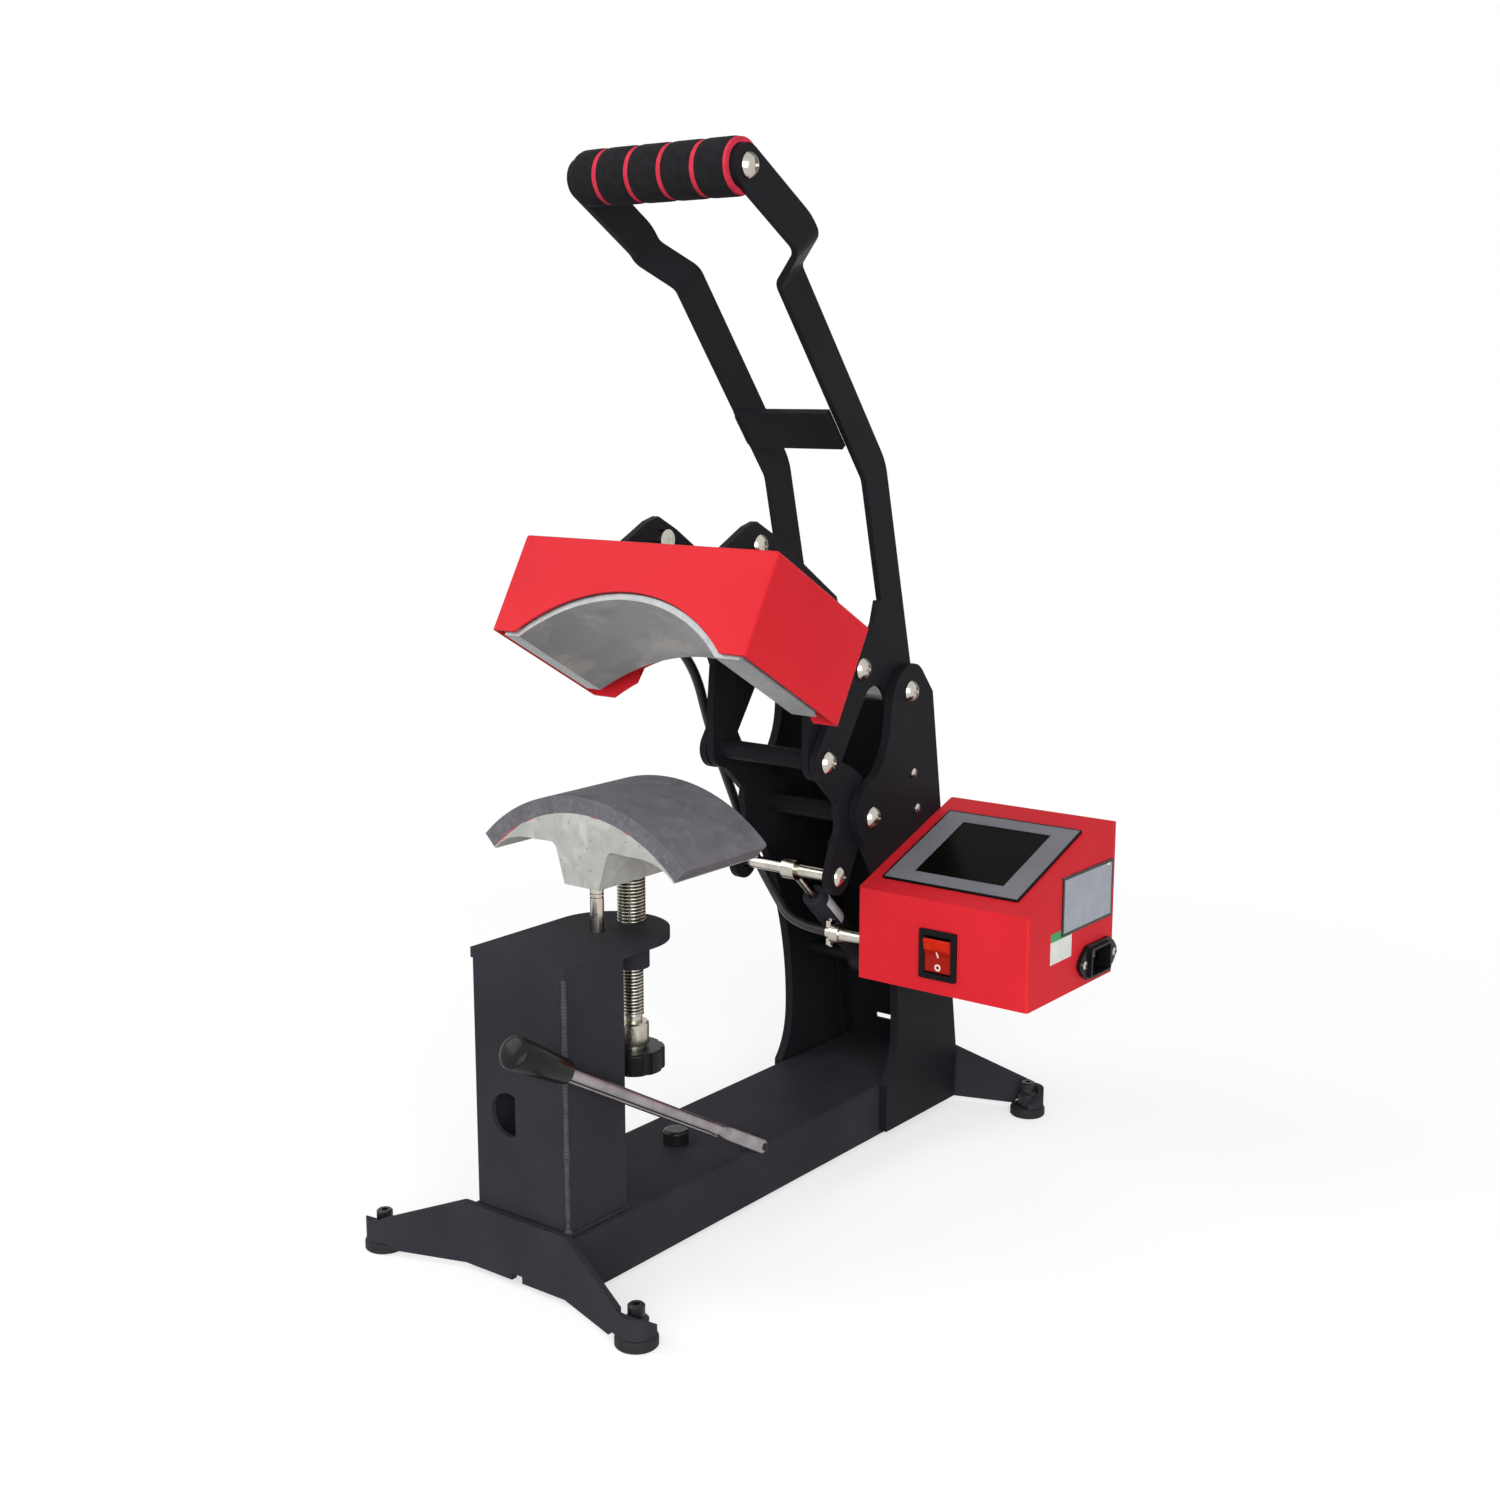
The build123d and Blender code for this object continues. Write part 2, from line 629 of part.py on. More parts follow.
def arm_face():
    """Outline of one handle arm: three straight runs, the lobe of each pivot and the grip end."""
    bar = trace(FilletPolyline(GRIP, BEND_UP, BEND_LOW, BAR_FOOT, radius=ARM_BEND_R), ARM_WIDTH)
    foot = hull(LINK_TOP, 14.5, HANDLE_PIVOT, 14.0)
    flare = poly([(282, 339), (292, 340.3), (300, 344.5), (305, 352), (309, 366),
                  (325, 366), (325, 322), (285, 322)])
    face = bar + disc(GRIP, ARM_WIDTH / 2) + foot + flare
    face = face - disc((306.6, 296.2), 15.2)
    return face - disc(HANDLE_PIVOT, BOLT_R + RUN)


def joggle_sheet():
    """Bent sheet that sets the arm outward above the joggle, seen along its bend lines."""
    dy, dz = JOGGLE_DIR
    plane = Plane(origin=(0, 0, 0), x_dir=(0, dy, dz), z_dir=(0, dz, -dy))
    k = 1.0 if plane.y_dir.X > 0 else -1.0
    up = k * (ARM_UPPER_X + ARM_SHEET / 2)
    low = k * (ARM_LOW_X + ARM_SHEET / 2)
    run = FilletPolyline((-700, up), (JOGGLE_START, up), (JOGGLE_END, low), (300, low), radius=JOGGLE_BEND_R)
    return extrude(plane * trace(run, ARM_SHEET), amount=900, both=True)


def right_handle_arm():
    slab = place(arm_face(), ARM_LOW_X - 1, ARM_UPPER_X + ARM_SHEET + 1)
    arm = slab & joggle_sheet()
    return arm - rod_x(GRIP, BOLT_R + HOLE, 0, 80)


def handle_cross_plate():
    """Flat bar welded between the arms just above the lower bend."""
    a = (256.2, 484.6)
    b = (273.6, 462.4)
    n = (0.788 * 4.0, 0.616 * 4.0)
    pts = [a, b, (b[0] + n[0], b[1] + n[1]), (a[0] + n[0], a[1] + n[1])]
    return place(poly(pts), -ARM_LOW_X, ARM_LOW_X)


def handle_tubes():
    """Spacer tubes between the arms, on the handle pivot and at the link bolts."""
    w = ARM_LOW_X
    rear = rod_x(HANDLE_PIVOT, 9, -w, w) - rod_x(HANDLE_PIVOT, BOLT_R + RUN, -w, w)
    front = rod_x(LINK_TOP, 8, -w, w) - rod_x(LINK_TOP, BOLT_R, -w, w)
    return group([rear, front])


def grip_core():
    return rod_x(GRIP, CORE_R, -ARM_UPPER_X, ARM_UPPER_X) - rod_x(GRIP, BOLT_R, -80, 80)


def ring_spans():
    """Ends of each coloured band; the last one ends flush with the foam."""
    last = GRIP_HALF - RING_W / 2 + 2.5
    centres = [last - RING_STEP * k for k in range(RING_COUNT)]
    return [(x - RING_W / 2, min(x + RING_W / 2, GRIP_HALF)) for x in centres]


def grip_foam():
    foam = rod_x(GRIP, FOAM_R, -GRIP_HALF, GRIP_HALF)
    foam = fillet(foam.edges().filter_by(GeomType.CIRCLE), 2)
    for a, b in ring_spans():
        band = rod_x(GRIP, FOAM_R + 5, a, b)
        foam = foam - (band - rod_x(GRIP, RING_BED_R, -80, 80))
    return foam - rod_x(GRIP, CORE_R, -80, 80)


def grip_rings():
    return group([rod_x(GRIP, RING_R, a, b) - rod_x(GRIP, RING_BED_R, a, b) for a, b in ring_spans()])


def grip_bolts():
    bolt = pivot_bolt(GRIP, ARM_UPPER_X + ARM_SHEET, ARM_UPPER_X - 20)
    return both(bolt)


# ================= links =================

def right_link():
    face = hull(LINK_TOP, LINK_R, LINK_LOW, LINK_R)
    face = face - disc(LINK_TOP, BOLT_R) - disc(LINK_LOW, BOLT_R)
    return place(face, OUTER_X, OUTER_X + PLATE)


def link_bolts():
    """Lower bolts run through the carrier; upper ones stop just short of the handle arm."""
    face = OUTER_X + PLATE
    low = pivot_bolt(LINK_LOW, face, BOLT_REACH)
    low = low + rod_x(LINK_LOW, BOLT_R + 5, INNER_X + PLATE + GAP, OUTER_X)
    top = pivot_bolt(LINK_TOP, face, INNER_X + PLATE + GAP)
    top = top + rod_x(LINK_TOP, BOLT_R + 5, INNER_X + PLATE + GAP, OUTER_X)
    return group([low, mirror(low, about=Plane.YZ), top, mirror(top, about=Plane.YZ)])


# ================= heater carrier =================

def carrier_face():
    """Crank plate round three pivots, continued by an arm that lies on the heater's top."""
    rear_top = tip_point(HEATER_REAR, HEATER_TOP)
    front_top = tip_point(74, HEATER_TOP)
    ear = [(92, 28), (99, 35), (118, 35.8), (195, 31.5), (203, 25), (204, 6)]
    ear = [front_top] + [tip_point(y, HEATER_TOP + rise) for y, rise in ear] + [(258, 300),
           (257, 284), (266, 268.5), (280, 262.5), (292, 255), (300, 240), (290, 214),
           (262, 215), (267, 240), (241, 263), (233.5, 272), (233.5, 300), (236, 326), rear_top]
    face = poly(ear)
    face = face + disc(LINK_LOW, 12.6) + disc(ARM_PIVOT, 20) + hull(SHAFT, 12, (281, 222), 14)
    face = face - disc((255.5, 226), 12.5)
    face = face - disc(LINK_LOW, BOLT_R + RUN) - disc(ARM_PIVOT, BOLT_R + RUN)
    return face - disc(SHAFT, SHAFT_END_R) - disc(tip_point(*EAR_BOLT), BOLT_R)


def right_carrier():
    plate = place(carrier_face(), INNER_X, INNER_X + PLATE)
    front = CARRIER_SCREW_Y[0] - 8
    rear = CARRIER_SCREW_Y[1] + 14
    top = HEATER_TOP + CARRIER_FLANGE
    flange = block(INNER_X - 14, INNER_X + 0.5, front, rear, HEATER_TOP, top)
    for y in CARRIER_SCREW_Y:
        flange = flange - rod_z(INNER_X - CARRIER_SCREW_IN, y, CARRIER_SCREW_R, HEATER_TOP - 6, top + 6)
    return plate + tipped(flange)


def carrier_tubes():
    low = rod_x(LINK_LOW, 6.2, -INNER_X, INNER_X) - rod_x(LINK_LOW, BOLT_R + RUN, -40, 40)
    arm = rod_x(ARM_PIVOT, 6.2, -INNER_X, INNER_X) - rod_x(ARM_PIVOT, BOLT_R + RUN, -40, 40)
    return group([low, arm])


STRUT_EYE_HALF = 5.0


def strut_shaft():
    """Chrome cross shaft that carries the strut's collar."""
    ends = rod_x(SHAFT, SHAFT_END_R, -INNER_X - PLATE, INNER_X + PLATE)
    return rod_x(SHAFT, SHAFT_R, -INNER_X, INNER_X) + ends


def strut_collar():
    """Eye of the strut's rod, turning on the cross shaft."""
    ring = rod_x(SHAFT, COLLAR_R, STRUT_X - STRUT_EYE_HALF, STRUT_X + STRUT_EYE_HALF)
    return ring - rod_x(SHAFT, SHAFT_R + RUN, -40, 40)


def carrier_bolts():
    """Heads on the shaft's ends, and the two short bolts in the ears."""
    solids = []
    face = INNER_X + PLATE
    head = lens_head(SHAFT, face, 6.6, 4.0)
    ear = tip_point(*EAR_BOLT)
    bolt = lens_head(ear, face, 6.6, 4.0) + rod_x(ear, BOLT_R, INNER_X - 5, face + 1.5)
    bolt = bolt + rod_x(ear, 6.5, INNER_X - 5, INNER_X)
    for piece in (head, bolt):
        solids.append(piece)
        solids.append(mirror(piece, about=Plane.YZ))
    return group(solids)


def carrier_screws():
    solids = []
    seat = HEATER_TOP + CARRIER_FLANGE
    for x, y in carrier_screw_points():
        screw = rod_z(x, y, 4.2, seat, seat + 3)
        screw = screw + rod_z(x, y, CARRIER_SCREW_R, HEATER_TOP - 6, seat + 1)
        solids.append(tipped(screw))
    return group(solids)


# ================= heater =================

def arch(apex, radius, y0, y1, extra=0.0):
    """Round bar along Y whose top would touch the apex height; extra widens it from the same centre."""
    bar = Cylinder(radius + extra, y1 - y0, align=(Align.CENTER, Align.CENTER, Align.MIN))
    return Pos(0, y0, apex - radius) * Rot(-90, 0, 0) * bar


def concave(extra, y0, y1):
    """Bar that is concentric with the hollow pressing face."""
    return arch(CONCAVE_APEX, CONCAVE_R, y0, y1, extra)


def carrier_screw_points():
    """X and Y of the four screws that clamp the carriers, the shell and the cast platen together."""
    x = INNER_X - CARRIER_SCREW_IN
    return [(s * x, y) for s in (-1, 1) for y in CARRIER_SCREW_Y]


def heater_shell():
    w = HEATER_HALF
    outer = block(-w, w, HEATER_FRONT, HEATER_REAR, HEATER_LOW, HEATER_TOP)
    outer = fillet(outer.edges().filter_by(Axis.Z), BEND_R)
    outer = fillet(outer.edges().group_by(Axis.Z)[-1], BEND_R)
    t = SHEET
    inner = block(-w + t, w - t, HEATER_FRONT + t, HEATER_REAR - t, HEATER_LOW - 1, HEATER_TOP - t)
    shell = outer - inner - arch(SHELL_ARCH_APEX, SHELL_ARCH_R, HEATER_FRONT - 5, HEATER_REAR + 5)
    for x, y in carrier_screw_points():
        shell = shell - rod_z(x, y, CARRIER_SCREW_R, HEATER_TOP - 5, HEATER_TOP + 5)
    gland = Pos(CABLE_X, HEATER_REAR, GLAND_Z) * Rot(90, 0, 0) * Cylinder(6, 20)
    return tipped(shell - gland)


def heater_platen():
    """Cast platen: hollow pressing face, rounded rim, flat lips and the bosses it hangs from."""
    y0 = HEATER_FRONT + SHEET + CAST_FREE
    y1 = CAST_REAR
    low = CAST_LOW
    body = concave(CAST_THICK, y0, y1) & block(-CAST_LEFT, CAST_RIGHT, y0, y1, low, HEATER_TOP)
    lips = block(-CAST_LEFT, CAST_RIGHT, y0, y1, low, low + CAST_LIP)
    lips = fillet(lips.edges().filter_by(Axis.Z), 3)
    lips = fillet(lips.edges().group_by(Axis.Z)[0], 1.5)
    casting = body + lips - concave(0, 0, 300)
    for x, y in carrier_screw_points():
        boss = rod_z(x, y, BOSS_R, CONCAVE_APEX - 2, HEATER_TOP - SHEET)
        casting = casting + boss - rod_z(x, y, CARRIER_SCREW_R, HEATER_TOP - 8, HEATER_TOP)
    return tipped(casting)


def bosses(free):
    """The platen's bosses with a free gap round them, to be cut from what lies round them."""
    return [rod_z(x, y, BOSS_R + free, 0, 400) for x, y in carrier_screw_points()]


def heating_element():
    mat = concave(CAST_THICK + ELEMENT, HEATER_FRONT + 8, CAST_REAR - 6) - concave(CAST_THICK, 0, 300)
    mat = mat & block(-70, 70, 0, 300, HEATER_LOW + 8, HEATER_TOP - SHEET)
    for boss in bosses(HOLE):
        mat = mat - boss
    return tipped(mat)


def insulation():
    """Fibre wool between the heating element and the top of the shell."""
    wool = block(-84, 84, HEATER_FRONT + 6, HEATER_REAR - 12, HEATER_LOW + 20, HEATER_TOP - SHEET)
    wool = wool - concave(CAST_THICK + ELEMENT, 0, 300)
    for boss in bosses(HOLE):
        wool = wool - boss
    return tipped(wool)


CABLE_R = 3.2
CABLE_X = -56.0
GLAND_Z = 288.0
GLAND_OUT = 7.0


def cable_gland():
    gland = Pos(CABLE_X, HEATER_REAR - SHEET - 3, GLAND_Z) * Rot(-90, 0, 0) * Cylinder(
        6, SHEET + 3, align=(Align.CENTER, Align.CENTER, Align.MIN))
    collar = Pos(CABLE_X, HEATER_REAR, GLAND_Z) * Rot(-90, 0, 0) * Cylinder(
        8, GLAND_OUT, align=(Align.CENTER, Align.CENTER, Align.MIN))
    return tipped(gland + chamfer(collar.edges().group_by(Axis.Y)[-1], 1.5))


def cable_route():
    """Points of the heater cable, from the heater's gland to the control box plug."""
    start = tip_point(HEATER_REAR + GLAND_OUT, GLAND_Z)
    out = tip_point(HEATER_REAR + GLAND_OUT + 26, GLAND_Z)
    return [(CABLE_X, start[0], start[1]), (CABLE_X, out[0], out[1]), (CABLE_X - 2, 260, 276),
            (CABLE_X - 3, 287, 226), (CABLE_X + 1, 303, 186), (-38, 305, 160),
            (-14, CONNECTOR_Y, CONNECTOR_Z),
            (CONNECTOR_END + CABLE_SEAT, CONNECTOR_Y, CONNECTOR_Z)]


def corner_radii(points, cap):
    """Bend radius at each inner point, at most what the shorter run allows."""
    radii = []
    for a, b, c in zip(points, points[1:], points[2:]):
        u = Vector(*b) - Vector(*a)
        v = Vector(*c) - Vector(*b)
        turn = math.radians(u.get_angle(v))
        short = min(u.length, v.length)
        radii.append(round(min(cap, 0.45 * short / math.tan(turn / 2)), 2))
    return radii


def heater_cable():
    points = cable_route()
    radii = corner_radii(points, 60)
    path = FilletPolyline(*points, radius=radii)
    start = Plane(origin=points[0], z_dir=Vector(*points[1]) - Vector(*points[0]))
    return sweep(start * Circle(CABLE_R), path=path)


# ================= gas strut =================

def strut_length():
    return math.hypot(STRUT_ANCHOR[0] - SHAFT[0], STRUT_ANCHOR[1] - SHAFT[1])


def along_strut(part):
    """Place a piece drawn along +Z from the anchor so that it points to the shaft."""
    dy = SHAFT[0] - STRUT_ANCHOR[0]
    dz = SHAFT[1] - STRUT_ANCHOR[1]
    lean = math.degrees(math.atan2(-dy, dz))
    return Pos(STRUT_X, STRUT_ANCHOR[0], STRUT_ANCHOR[1]) * Rot(lean, 0, 0) * part


STRUT_R = 8.0
STRUT_BODY_TOP = 84.0
STRUT_ROD_R = 3.2
STRUT_EYE_R = 9.5


def strut_cylinder():
    eye = Rot(0, 90, 0) * Cylinder(STRUT_EYE_R, 2 * STRUT_EYE_HALF)
    tube = rod_z(0, 0, STRUT_R, STRUT_EYE_R + 2, STRUT_BODY_TOP)
    tube = fillet(tube.edges().group_by(Axis.Z)[-1], 1.5)
    neck = rod_z(0, 0, 4.5, STRUT_EYE_R - 2, STRUT_EYE_R + 3)
    body = eye + neck + tube
    body = body - rod_z(0, 0, STRUT_ROD_R + GAP, 22, 200)
    body = body - Rot(0, 90, 0) * Cylinder(BOLT_R + ANCHOR_FREE, 40)
    return along_strut(body)


def strut_rod():
    top = strut_length()
    rod = rod_z(0, 0, STRUT_ROD_R, 50, top)
    collar = Pos(0, 0, top) * Rot(0, 90, 0) * Cylinder(COLLAR_R, 40)
    return along_strut(rod - collar)


# ================= lower platen =================

def pad_arc(r, y0, y1):
    z = PAD_APEX - PAD_OUTER_R
    return Pos(0, y0, z) * Rot(-90, 0, 0) * Cylinder(r, y1 - y0, align=(Align.CENTER, Align.CENTER, Align.MIN))


def wedge(y0, y1):
    """Sector that ends the pad and saddle at equal angles on both sides."""
    a = math.radians(PAD_HALF_ANGLE)
    z = PAD_APEX - PAD_OUTER_R
    far = 200.0
    pts = [(0, z), (far * math.sin(a), z + far * math.cos(a)), (0, z + 2 * far),
           (-far * math.sin(a), z + far * math.cos(a))]
    return extrude(Plane.XZ.offset(-y0) * poly(pts), amount=-(y1 - y0))


def silicone_pad():
    ring = pad_arc(PAD_OUTER_R, PLATEN_FRONT, PLATEN_REAR)
    ring = ring - pad_arc(PAD_OUTER_R - PAD_THICK, 0, 300)
    pad = ring & wedge(PLATEN_FRONT, PLATEN_REAR)
    tips = pad.edges().filter_by(GeomType.LINE).group_by(Axis.Y)[-1]
    return fillet(tips, 3)


def keel_half(z):
    """Half width of the drafted keel at a height."""
    return KEEL_LOW_HALF + (z - KEEL_LOW) * math.tan(math.radians(KEEL_DRAFT))


def saddle_section():
    """Cross-section of the casting: crown, two hollowed wings and the drafted keel."""
    zc = PAD_APEX - PAD_OUTER_R
    a = math.radians(PAD_HALF_ANGLE)
    far = 2 * PAD_OUTER_R
    fan = poly([(0, zc), (far * math.sin(a), zc + far * math.cos(a)),
                (-far * math.sin(a), zc + far * math.cos(a))])
    crown = Pos(0, zc) * Circle(PAD_OUTER_R - PAD_THICK) & fan
    hollow = disc((WING_APEX_X, WING_APEX_Z - WING_R), WING_R)
    hollow = hollow + Pos(-1, 0) * Rectangle(WING_APEX_X + 1, WING_APEX_Z, align=Align.MIN)
    hollow = hollow + Rectangle(far, WING_APEX_Z - WING_R, align=Align.MIN)
    top = WING_APEX_Z + 6
    keel = poly([(-KEEL_LOW_HALF, KEEL_LOW), (KEEL_LOW_HALF, KEEL_LOW),
                 (keel_half(top), top), (-keel_half(top), top)])
    section = crown - hollow - mirror(hollow, about=Plane.YZ) + keel
    inner = [v for v in section.vertices() if abs(v.Y - WING_APEX_Z) < 0.01 and abs(v.X) < WING_APEX_X - 1]
    return fillet(inner, WING_FILLET)


def platen_saddle():
    """Cast saddle under the pad, with sockets in its keel for the screw and the guide pin."""
    saddle = extrude(Plane.XZ.offset(-PLATEN_FRONT) * saddle_section(), amount=-(PLATEN_REAR - PLATEN_FRONT))
    saddle = saddle - rod_z(0, SCREW_Y, SCREW_R + GAP, 0, KEEL_LOW + SOCKET_DEPTH)
    return saddle - rod_z(0, GUIDE_Y, GUIDE_R, 0, KEEL_LOW + SOCKET_DEPTH)


def guide_pin():
    pin = rod_z(0, GUIDE_Y, GUIDE_R, 150, KEEL_LOW + SOCKET_DEPTH)
    return chamfer(pin.edges().group_by(Axis.Z)[0], 1)


def adjusting_screw():
    """Threaded spindle: thick end in the saddle, thinner shaft, neck and turned collar."""
    spindle = rod_z(0, SCREW_Y, SCREW_R, NUT_LOW - 4, KEEL_LOW + SOCKET_DEPTH - GAP)
    spindle = spindle + rod_z(0, SCREW_Y, SCREW_LOW_R, NECK_TOP - 1, NUT_LOW)
    spindle = spindle + rod_z(0, SCREW_Y, NECK_R, KNOB_TOP + 2, NECK_TOP)
    collar = rod_z(0, SCREW_Y, COLLAR_TURNED_R, KNOB_TOP + 2, COLLAR_TURNED_TOP)
    collar = chamfer(collar.edges().group_by(Axis.Z)[-1], 1)
    spindle = spindle + collar + rod_z(0, SCREW_Y, 8.0, KNOB_TOP, KNOB_TOP + 3)
    return spindle + rod_z(0, SCREW_Y, 5.0, KNOB_LOW + 4, KNOB_TOP + 2)


def star_knob():
    knob = rod_z(0, SCREW_Y, KNOB_R, KNOB_LOW, KNOB_TOP)
    knob = fillet(knob.edges(), 1.5)
    for k in range(8):
        a = math.radians(45 * k + 22.5)
        x = (KNOB_R + 2.2) * math.cos(a)
        y = SCREW_Y + (KNOB_R + 2.2) * math.sin(a)
        knob = knob - rod_z(x, y, 4.2, 0, 200)
    return knob - rod_z(0, SCREW_Y, 5.0, KNOB_LOW + 4, 200)


# ================= side lever =================

def along_lever(part):
    """Place a piece drawn along +Z from the lever's pivot onto the lever's line."""
    y, z = LEVER_PIVOT
    return Pos(LEVER_X, y, z) * Rot(90 - LEVER_ANGLE, 0, 0) * part


def lever_rod():
    rod = rod_z(0, 0, LEVER_ROD_R, 40, LEVER_GRIP_AT + 30)
    flat = block(-2.2, 2.2, -4.2, 4.2, -2, 44)
    flat = flat + Rot(0, 90, 0) * Cylinder(4.6, 4.4)
    blend = loft([Pos(0, 0, 30) * Rectangle(4.4, 8.4), Pos(0, 0, 52) * Circle(LEVER_ROD_R)])
    rod = rod + flat + blend
    return along_lever(rod - Rot(0, 90, 0) * Cylinder(2.4 + RUN, 40))


def lever_side_rod():
    """Thin prong beside the main rod, running out of the grip."""
    rod = rod_z(-6.0, 0, 2.4, 20, LEVER_GRIP_AT + 6)
    rod = fillet(rod.edges().group_by(Axis.Z)[0], 1.5)
    shift = Pos(0, 5.0, 0)
    return along_lever(shift * rod)


def lever_grip():
    base_r = 7.0
    end_r = 9.6
    length = LEVER_LENGTH - LEVER_GRIP_AT
    cone = Pos(0, 0, LEVER_GRIP_AT) * Cone(
        base_r, end_r, length, align=(Align.CENTER, Align.CENTER, Align.MIN))
    ball_r = 20.0
    cap = Pos(0, 0, LEVER_LENGTH + 2.4 - ball_r) * Sphere(ball_r)
    dome = cap & rod_z(0, 0, end_r, LEVER_LENGTH, LEVER_LENGTH + 4)
    grip = cone + dome
    grip = grip - rod_z(0, 0, LEVER_ROD_R, 0, LEVER_GRIP_AT + 30)
    prong = Pos(0, 5.0, 0) * rod_z(-6.0, 0, 2.4, 0, LEVER_GRIP_AT + 6)
    return along_lever(grip - prong)


def build():
    """Every node of the press, by name, in the frame of the front feet."""
    arm = right_handle_arm()
    bracket = right_bracket()
    carrier = right_carrier()
    link = right_link()
    return {
        "base_channel": base_channel(),
        "front_foot_plate": foot_plate(True),
        "rear_foot_plate": rear_foot_plate(),
        "foot_studs": foot_studs(),
        "foot_pads": foot_pads(),
        "front_column": front_column(),
        "column_top_plate": column_top_plate(),
        "screw_nut": screw_nut(),
        "base_stop": base_stop(),
        "right_bracket": bracket,
        "left_bracket": mirror(bracket, about=Plane.YZ),
        "rear_cover": rear_cover(),
        "cover_block": cover_block(),
        "machine_screws": group([bracket_screws(), box_screws()]),
        "ground_bolts": ground_bolts(),
        "strut_anchor": strut_anchor(),
        "lever_lug": lever_lug(),
        "control_box_shell": control_box_shell(),
        "control_box_pan": control_box_pan(),
        "circuit_board": circuit_board(),
        "display_frame": display_frame(),
        "display_glass": display_glass(),
        "switch_bezel": switch_bezel(),
        "rocker": rocker(),
        "inlet_socket": inlet_socket(),
        "rating_plate": rating_plate(),
        "cable_connector": cable_connector(),
        "right_handle_arm": arm,
        "left_handle_arm": mirror(arm, about=Plane.YZ),
        "handle_cross_plate": handle_cross_plate(),
        "handle_tubes": handle_tubes(),
        "grip_core": grip_core(),
        "grip_foam": grip_foam(),
        "grip_rings": grip_rings(),
        "grip_bolts": grip_bolts(),
        "right_link": link,
        "left_link": mirror(link, about=Plane.YZ),
        "link_bolts": link_bolts(),
        "right_carrier": carrier,
        "left_carrier": mirror(carrier, about=Plane.YZ),
        "carrier_tubes": carrier_tubes(),
        "strut_shaft": strut_shaft(),
        "strut_collar": strut_collar(),
        "carrier_fasteners": group([carrier_bolts(), carrier_screws()]),
        "heater_shell": heater_shell(),
        "heater_platen": heater_platen(),
        "heating_element": heating_element(),
        "insulation": insulation(),
        "cable_gland": cable_gland(),
        "heater_cable": heater_cable(),
        "strut_cylinder": strut_cylinder(),
        "strut_rod": strut_rod(),
        "platen_saddle": platen_saddle(),
        "silicone_pad": silicone_pad(),
        "guide_pin": guide_pin(),
        "adjusting_screw": adjusting_screw(),
        "star_knob": star_knob(),
        "lever_rod": lever_rod(),
        "lever_side_rod": lever_side_rod(),
        "lever_grip": lever_grip(),
    }


def origin_shift(parts):
    """Move that puts the middle of the floor area under the press at the origin."""
    boxes = [part.bounding_box() for name, part in parts.items() if name != "heater_cable"]
    x = min(b.min.X for b in boxes) + max(b.max.X for b in boxes)
    y = min(b.min.Y for b in boxes) + max(b.max.Y for b in boxes)
    return (-x / 2, -y / 2, -min(b.min.Z for b in boxes))


if __name__ == "__main__":
    parts = build()
    shift = origin_shift(parts)
    os.makedirs("parts", exist_ok=True)
    for name, part in parts.items():
        export_step(Pos(*shift) * part, "parts/" + name + ".step")
    print("shift", [round(v, 4) for v in shift])
    print("cable radii", corner_radii(cable_route(), 60))
    print("cable points", [[round(c, 2) for c in p] for p in cable_route()])
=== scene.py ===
import bmesh
import bpy
import json
import math
import numpy as np
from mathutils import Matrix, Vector


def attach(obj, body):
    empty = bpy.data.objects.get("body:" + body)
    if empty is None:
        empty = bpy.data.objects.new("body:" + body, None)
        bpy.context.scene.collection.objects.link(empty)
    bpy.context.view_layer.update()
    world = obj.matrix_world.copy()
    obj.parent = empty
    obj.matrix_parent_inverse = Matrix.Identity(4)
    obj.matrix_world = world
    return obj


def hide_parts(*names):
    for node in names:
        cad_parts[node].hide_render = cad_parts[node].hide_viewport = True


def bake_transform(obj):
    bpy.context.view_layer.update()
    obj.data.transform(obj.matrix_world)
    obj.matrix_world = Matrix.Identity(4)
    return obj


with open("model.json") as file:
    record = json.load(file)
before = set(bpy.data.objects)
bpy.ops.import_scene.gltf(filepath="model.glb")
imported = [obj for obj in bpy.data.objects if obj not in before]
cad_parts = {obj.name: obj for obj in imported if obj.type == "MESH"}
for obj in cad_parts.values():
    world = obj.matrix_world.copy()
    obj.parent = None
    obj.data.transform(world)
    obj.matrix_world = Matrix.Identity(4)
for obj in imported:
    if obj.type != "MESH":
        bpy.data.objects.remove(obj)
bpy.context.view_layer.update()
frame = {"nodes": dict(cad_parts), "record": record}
nodes = frame["nodes"]


# ---------------------------------------------------------------- the press's own frame
# Sizes are in millimetres in the press's frame: X from its middle plane to the right, Y rearwards
# from the front feet, Z up from the floor. The row frame is the same one, shifted.
SHIFT = np.array((-33.6, -195.0826, 0.0))
MM = 0.001
ARM_PIVOT = (295.1, 227.4)       # Y and Z of the axis that the heater swings about
TILT = math.radians(29.8)        # how far the open heater leans back
BOX_RIGHT = 172.0                # the control box's right side


def row(*p):
    """Points of the press's frame, in millimetres, as metres of the row frame."""
    return (np.asarray(p if len(p) > 1 else p[0], float) + SHIFT) * MM


def open_point(y, z):
    """Turn a point of the level heater about the arm's axis into its open place."""
    dy, dz = y - ARM_PIVOT[0], z - ARM_PIVOT[1]
    c, s = math.cos(TILT), math.sin(TILT)
    return ARM_PIVOT[0] + dy * c + dz * s, ARM_PIVOT[1] - dy * s + dz * c


